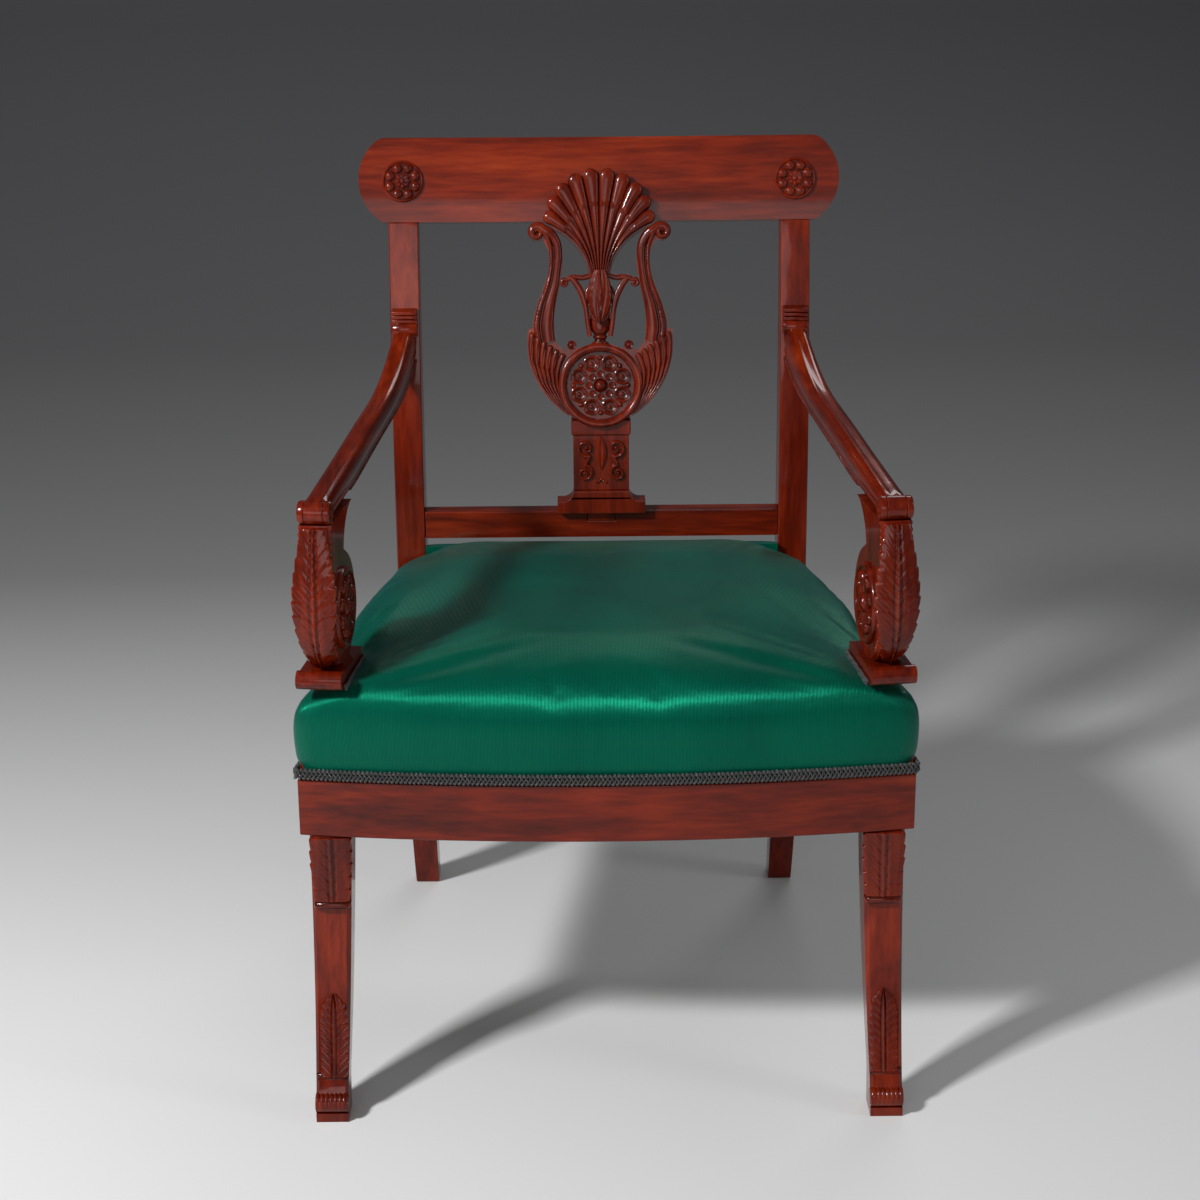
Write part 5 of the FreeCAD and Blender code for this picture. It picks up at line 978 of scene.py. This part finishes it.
def back_of_seat(cloth):
    """The part of the cover that goes back between the stiles and down the rear rail."""
    work = Work()
    rows = []
    half = 201.2
    for x in np.linspace(-half, half, 60):
        ease = 1.4 * (abs(x) / half) ** 24
        fall = [(239.2, 346), (239.8, 360), (240.6, 380), (241.2, 400), (240.6, 418)]
        ring = [(206, 346)] + [(y - ease, z) for y, z in fall]
        for k in range(7):
            angle = math.radians(k * 15)
            ring.append((216 + (24 - ease) * math.cos(angle), 424 + (21 - ease) * math.sin(angle)))
        ring += [(200, 447), (200, 400)]
        rows.append([(x, y, z) for y, z in ring])
    work.grid(np.array(rows) * MM, around=True, caps=True)
    piece = work.make("seat_back_roll", cloth, sharp=60)


def plait(work, path, away, tall=4.4, thick=1.9, pitch=13.0):
    """Three strands that cross over each other along a path; away is the side they stand out on."""
    path = np.asarray(path, float)
    run = lengths(path[:, :2])
    steps = int(run[-1] / 1.7)
    even = np.linspace(0, run[-1], steps)
    line = np.stack([np.interp(even, run, path[:, i]) for i in range(3)], -1)
    ahead = np.gradient(line[:, :2], axis=0)
    ahead /= np.linalg.norm(ahead, axis=1)[:, None]
    side = np.stack([ahead[:, 1], -ahead[:, 0]], -1) * away
    turn = circle(8)
    for strand in range(3):
        phase = 2 * math.pi * even / pitch + strand * 2 * math.pi / 3
        out = 0.9 + 0.8 * np.sin(2 * phase)
        centre = np.column_stack([line[:, :2] + side * out[:, None], line[:, 2] + tall * np.sin(phase)])
        rings = centre[:, None, :] + thick * (
            np.sin(turn)[None, :, None] * np.array([0, 0, 1.0])
            + np.cos(turn)[None, :, None] * np.column_stack([side, np.zeros(len(side))])[:, None, :]
        )
        work.grid(rings * MM, around=True, caps=True)


def gimp(black):
    """Plaited gimp over the edge of the cover, and round the blocks under the arm scrolls."""
    work = Work()
    bow = 24
    reach = (300**2 + bow**2) / (2 * bow)
    across = np.linspace(300.6, -300.6, 90)
    arc = [(x, -269 + reach - math.sqrt(reach**2 - x * x) - 0.6, GIMP_Z) for x in across]
    right = [(300.6 - (y + 245) * SIDE_TAPER, y, GIMP_Z) for y in np.linspace(208.5, -245, 60)]
    left = [(-x, y, z) for x, y, z in right[::-1]]
    plait(work, right + arc[1:-1] + left, -1)
    plait(work, [(x, 240.2, GIMP_Z) for x in np.linspace(-199.5, 199.5, 60)], -1)
    for way in WAYS:
        ring = [(23.0, 41.6), (-23.6, 41.6), (-23.6, -56.0)]
        spots = []
        for (x0, y0), (x1, y1) in zip(ring[:-1], ring[1:]):
            spots += [(x0 + (x1 - x0) * k / 12, y0 + (y1 - y0) * k / 12) for k in range(12)]
        spots = splayed(*np.array(spots).T, 443.2) / MM * [way, 1, 1]
        plait(work, spots, way, 2.1, 1.15, 8.0)
    work.make("gimp_braid", black, replaces=["gimp_trim"], sharp=60)


def webbing(web, sacking):
    """Jute webbing woven over and under on the rails, with sacking stretched on top."""
    work = Work()
    columns = [-172 + 86 * k for k in range(5)]
    rows = [-135 + 98.3 * k for k in range(4)]

    def strip(spots, across):
        t = np.linspace(-25, 25, 5)
        top = spots[:, None, :] + t[None, :, None] * np.asarray(across, float)
        low = top[:, ::-1] - np.array([0, 0, 1.1])
        work.grid(np.concatenate([top, low], 1) * MM, around=True, caps=True)

    def weave(along, crossed, way):
        """Its level along a strip, over and under the strips that it crosses."""
        ride = sum(0.75 * (-1) ** m * np.exp(-((along - c) / 30.0) ** 4) for m, c in enumerate(crossed))
        return np.maximum(396.5 + way * ride, 396.25)

    for k, x in enumerate(columns):
        y = np.linspace(-238, 231, 100)
        strip(np.column_stack([np.full(100, x), y, weave(y, rows, (-1) ** k)]), (1, 0, 0))
    for m, y in enumerate(rows):
        reach = 297 - (y + 245) * SIDE_TAPER
        x = np.linspace(-reach, reach, 120)
        strip(np.column_stack([x, np.full(120, y), weave(x, columns, -((-1) ** m))]), (0, 1, 0))
    straps = work.make("seat_webbing", web, replaces=["webbing"], sharp=60)
    work = Work()
    y = np.linspace(-236, 204, 34)
    half = 268 - np.clip(y + 215, 0, None) * SIDE_TAPER
    points = np.array([[(u * h, v, 398.3) for u in np.linspace(-1, 1, 40)] for v, h in zip(y, half)]) * MM
    work.grid(points)
    cloth = work.make("seat_sacking", sacking, replaces=["hessian"], sharp=80)
    area = float(np.sum((half[1:] + half[:-1]) * np.diff(y))) * MM * MM


# The stage.
def stage():
    """A pale floor that rises into a grey backdrop, with painted shade that darkens it with distance and height,
    soft lamps and the photograph's viewing angle.
    """
    scene = bpy.context.scene
    scene.view_settings.view_transform = "Standard"
    ground = Finish("studio_floor", 0.65, Specular_IOR_Level=0.25)
    # Painted shade: the floor and backdrop grow darker with distance and with height.
    fade = ground.tree.nodes.new("ShaderNodeSeparateXYZ")
    ground.join(ground.place, fade, "Vector")
    away = ground.sums(fade.outputs["Y"], None, "MULTIPLY", 0.22)
    up = ground.sums(fade.outputs["Z"], None, "MULTIPLY", 0.30)
    ground.colour(ground.ramp(ground.sums(away, up), [
        (0.0, (0.72, 0.72, 0.72)), (0.12, (0.60, 0.60, 0.60)), (0.34, (0.27, 0.27, 0.27)),
        (0.62, (0.115, 0.115, 0.118)), (0.92, (0.060, 0.060, 0.064))]))
    work = Work()
    rows = [(-6.0, 0), (0, 0), (1.2, 0), (1.9, 0.02), (2.4, 0.14), (2.8, 0.42), (3.0, 0.85), (3.1, 1.6),
            (3.1, 5.0)]
    line = smooth(rows, 60)
    x = np.linspace(-6, 6, 12)
    points = [[(a, y, z - 0.0002) for a in x] for y, z in line]
    work.grid(points)
    mesh = bpy.data.meshes.new("floor_and_backdrop")
    mesh.from_pydata(np.vstack(work.points).tolist(), [], work.faces)
    mesh.shade_smooth()
    floor = bpy.data.objects.new("floor_and_backdrop", mesh)
    mesh.materials.append(ground.material)
    scene.collection.objects.link(floor)

    def lamp(name, place, height, power, width, tall):
        light = bpy.data.lights.new(name, "AREA")
        light.shape = "RECTANGLE"
        light.size, light.size_y = width, tall
        light.energy = power
        item = bpy.data.objects.new(name, light)
        item.location = place
        item.rotation_euler = (Vector((0, 0, height)) - Vector(place)).to_track_quat("-Z", "Y").to_euler()
        scene.collection.objects.link(item)

    lamp("key_light", (-1.9, -1.7, 2.3), 0.5, 104, 0.36, 0.36)
    lamp("side_light", (2.6, -0.9, 1.5), 0.5, 9, 0.5, 1.8)
    lamp("front_light", (-0.4, -3.2, 1.3), 0.45, 15, 1.8, 1.2)
    lamp("rear_light", (0.8, 2.4, 2.6), 0.6, 15, 1.6, 0.8)
    world = scene.world or bpy.data.worlds.new("studio")
    scene.world = world
    world.use_nodes = True
    sky = world.node_tree.nodes["Background"]
    sky.inputs["Color"].default_value = (0.80, 0.82, 0.85, 1)
    sky.inputs["Strength"].default_value = 0.19

    lens = bpy.data.cameras.new("photo_angle")
    lens.lens, lens.sensor_width = 67.55, 36
    camera = bpy.data.objects.new("photo_angle", lens)
    yaw, pitch, roll = math.radians(0.401), math.radians(17.889), math.radians(0.414)
    ahead = Vector((math.sin(yaw) * math.cos(pitch), math.cos(yaw) * math.cos(pitch), -math.sin(pitch)))
    right = Vector((math.cos(yaw), -math.sin(yaw), 0))
    above = right.cross(ahead)
    axis_x = math.cos(roll) * right - math.sin(roll) * above
    axis_y = math.sin(roll) * right + math.cos(roll) * above
    turn = Matrix((axis_x, axis_y, -ahead)).transposed().to_4x4()
    camera.matrix_world = Matrix.Translation((-0.0198, -2.2676, 1.1780)) @ turn
    scene.collection.objects.link(camera)
    scene.camera = camera


# What a user can change, and the buttons that make each piece.
class ChairColours(bpy.types.PropertyGroup):
    satin: bpy.props.FloatVectorProperty(
        name="Satin", description="Colour of the seat's satin", subtype="COLOR", size=3, min=0, max=1,
        default=(0.0003, 0.062, 0.038))
    polish: bpy.props.FloatProperty(
        name="Polish depth", description="Brightness of the mahogany under its polish", default=1.0, min=0.3,
        max=2.0, subtype="FACTOR")


class ChairSizes(bpy.types.PropertyGroup):
    ease: bpy.props.FloatProperty(
        name="Edge ease", description="Rounding of the worked edges", default=1.3 * MM, min=0.0002, max=0.003,
        unit="LENGTH", subtype="DISTANCE")


def finishes():
    """The finishes, made once."""
    colours = bpy.context.scene.chair_colours
    names = bpy.data.materials
    if "mahogany_upright" not in names:
        deep = colours.polish
        mahogany("mahogany_upright", "Z", deep)
        mahogany("mahogany_crosswise", "X", deep)
        mahogany("mahogany_lengthwise", "Y", deep)
        mahogany("mahogany_carved", "Z", deep * 0.82, True)
        # A darker copy of the carved wood, used as painted shade on the beads and on the shell's ground between
        # its flutes.
        mahogany("mahogany_painted_shade", "Z", deep * 0.42, True)
        beech()
        satin(tuple(colours.satin))
        braid()
        plain_weave("jute_webbing", (0.20, 0.135, 0.065), (0.42, 0.31, 0.17), 150)
        plain_weave("sacking", (0.24, 0.17, 0.09), (0.48, 0.37, 0.22), 260)
    return names


class FrameOperator(bpy.types.Operator):
    """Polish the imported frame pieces"""
    bl_idname = "chair.frame"
    bl_label = "Frame"

    def execute(self, context):
        wood = finishes()
        ease = context.scene.chair_sizes.ease / MM
        for name in ("left_back_leg", "right_back_leg", "left_front_leg", "right_front_leg", "lyre_body",
                     "left_arm_support", "right_arm_support", "splat_plinth", "splat_base"):
            polish_node(name, wood["mahogany_upright"], ease if name != "lyre_body" else 0.5)
        for name in ("crest_rail", "stay_rail", "front_seat_rail"):
            polish_node(name, wood["mahogany_crosswise"], ease)
        for name in ("left_side_rail", "right_side_rail", "left_arm_base", "right_arm_base"):
            polish_node(name, wood["mahogany_lengthwise"], ease)
        for name in ("rear_seat_rail", "left_back_block", "right_back_block", "left_front_block",
                     "right_front_block"):
            polish_node(name, wood["frame_beech"], ease)
        # The shell's ground under its carved fan takes the darker copy of the wood, as painted shade between the
        # flutes.
        polish_node("lyre_shell", wood["mahogany_painted_shade"], 0.3)
        return {"FINISHED"}


class LyreOperator(bpy.types.Operator):
    """Carve the lyre: arms, reeds, ring, patera, calyx and shell"""
    bl_idname = "chair.lyre"
    bl_label = "Lyre"

    def execute(self, context):
        wood = finishes()
        carved, painted_shade_wood = wood["mahogany_carved"], wood["mahogany_painted_shade"]
        lyre_arms(carved)
        lyre_reeding(carved)
        ring_moulding(wood["mahogany_upright"], painted_shade_wood)
        patera(carved)
        calyx(carved)
        shell(carved)
        plinth_scrolls(wood["mahogany_upright"])
        return {"FINISHED"}


class CrestOperator(bpy.types.Operator):
    """Carve the rosettes on the crest rail"""
    bl_idname = "chair.crest"
    bl_label = "Crest rosettes"

    def execute(self, context):
        crest_rosettes(finishes()["mahogany_carved"])
        return {"FINISHED"}


class ArmOperator(bpy.types.Operator):
    """Shape the arms, and carve their supports and scrolls"""
    bl_idname = "chair.arms"
    bl_label = "Arms"

    def execute(self, context):
        wood = finishes()
        arms(wood["mahogany_lengthwise"], wood["mahogany_painted_shade"])
        support_leaves(wood["mahogany_carved"])
        scroll_rosettes(wood["mahogany_carved"])
        return {"FINISHED"}


class LegOperator(bpy.types.Operator):
    """Carve the knees, sheaths and toes of the front legs"""
    bl_idname = "chair.legs"
    bl_label = "Front legs"

    def execute(self, context):
        knee_carving(finishes()["mahogany_carved"])
        return {"FINISHED"}


class SeatOperator(bpy.types.Operator):
    """Upholster the seat: webbing, sacking, cushion and gimp"""
    bl_idname = "chair.seat"
    bl_label = "Seat"

    def execute(self, context):
        cloth = finishes()
        webbing(cloth["jute_webbing"], cloth["sacking"])
        cushion(cloth["green_satin"])
        back_of_seat(cloth["green_satin"])
        gimp(cloth["black_gimp"])
        return {"FINISHED"}


class StageOperator(bpy.types.Operator):
    """Set up the floor, the lights and the camera"""
    bl_idname = "chair.stage"
    bl_label = "Stage"

    def execute(self, context):
        stage()
        return {"FINISHED"}


BUTTONS = (StageOperator, FrameOperator, LyreOperator, CrestOperator, ArmOperator, LegOperator, SeatOperator)


class ChairPanel(bpy.types.Panel):
    """The chair's colours, sizes and pieces"""
    bl_idname = "VIEW3D_PT_chair"
    bl_label = "Lyre back armchair"
    bl_space_type = "VIEW_3D"
    bl_region_type = "UI"
    bl_category = "Chair"

    def draw(self, context):
        column = self.layout.column()
        column.prop(context.scene.chair_colours, "satin")
        column.prop(context.scene.chair_colours, "polish")
        column.prop(context.scene.chair_sizes, "ease")
        for button in BUTTONS:
            column.operator(button.bl_idname)


CLASSES = (ChairColours, ChairSizes, *BUTTONS, ChairPanel)


def register():
    for item in CLASSES:
        bpy.utils.register_class(item)
    bpy.types.Scene.chair_colours = bpy.props.PointerProperty(type=ChairColours)
    bpy.types.Scene.chair_sizes = bpy.props.PointerProperty(type=ChairSizes)


def unregister():
    del bpy.types.Scene.chair_sizes
    del bpy.types.Scene.chair_colours
    for item in reversed(CLASSES):
        bpy.utils.unregister_class(item)


def main():
    """Makes every piece in order."""
    register()
    for button in BUTTONS:
        group, name = button.bl_idname.split(".")
        getattr(getattr(bpy.ops, group), name)()


if __name__ == "__main__":
    main()
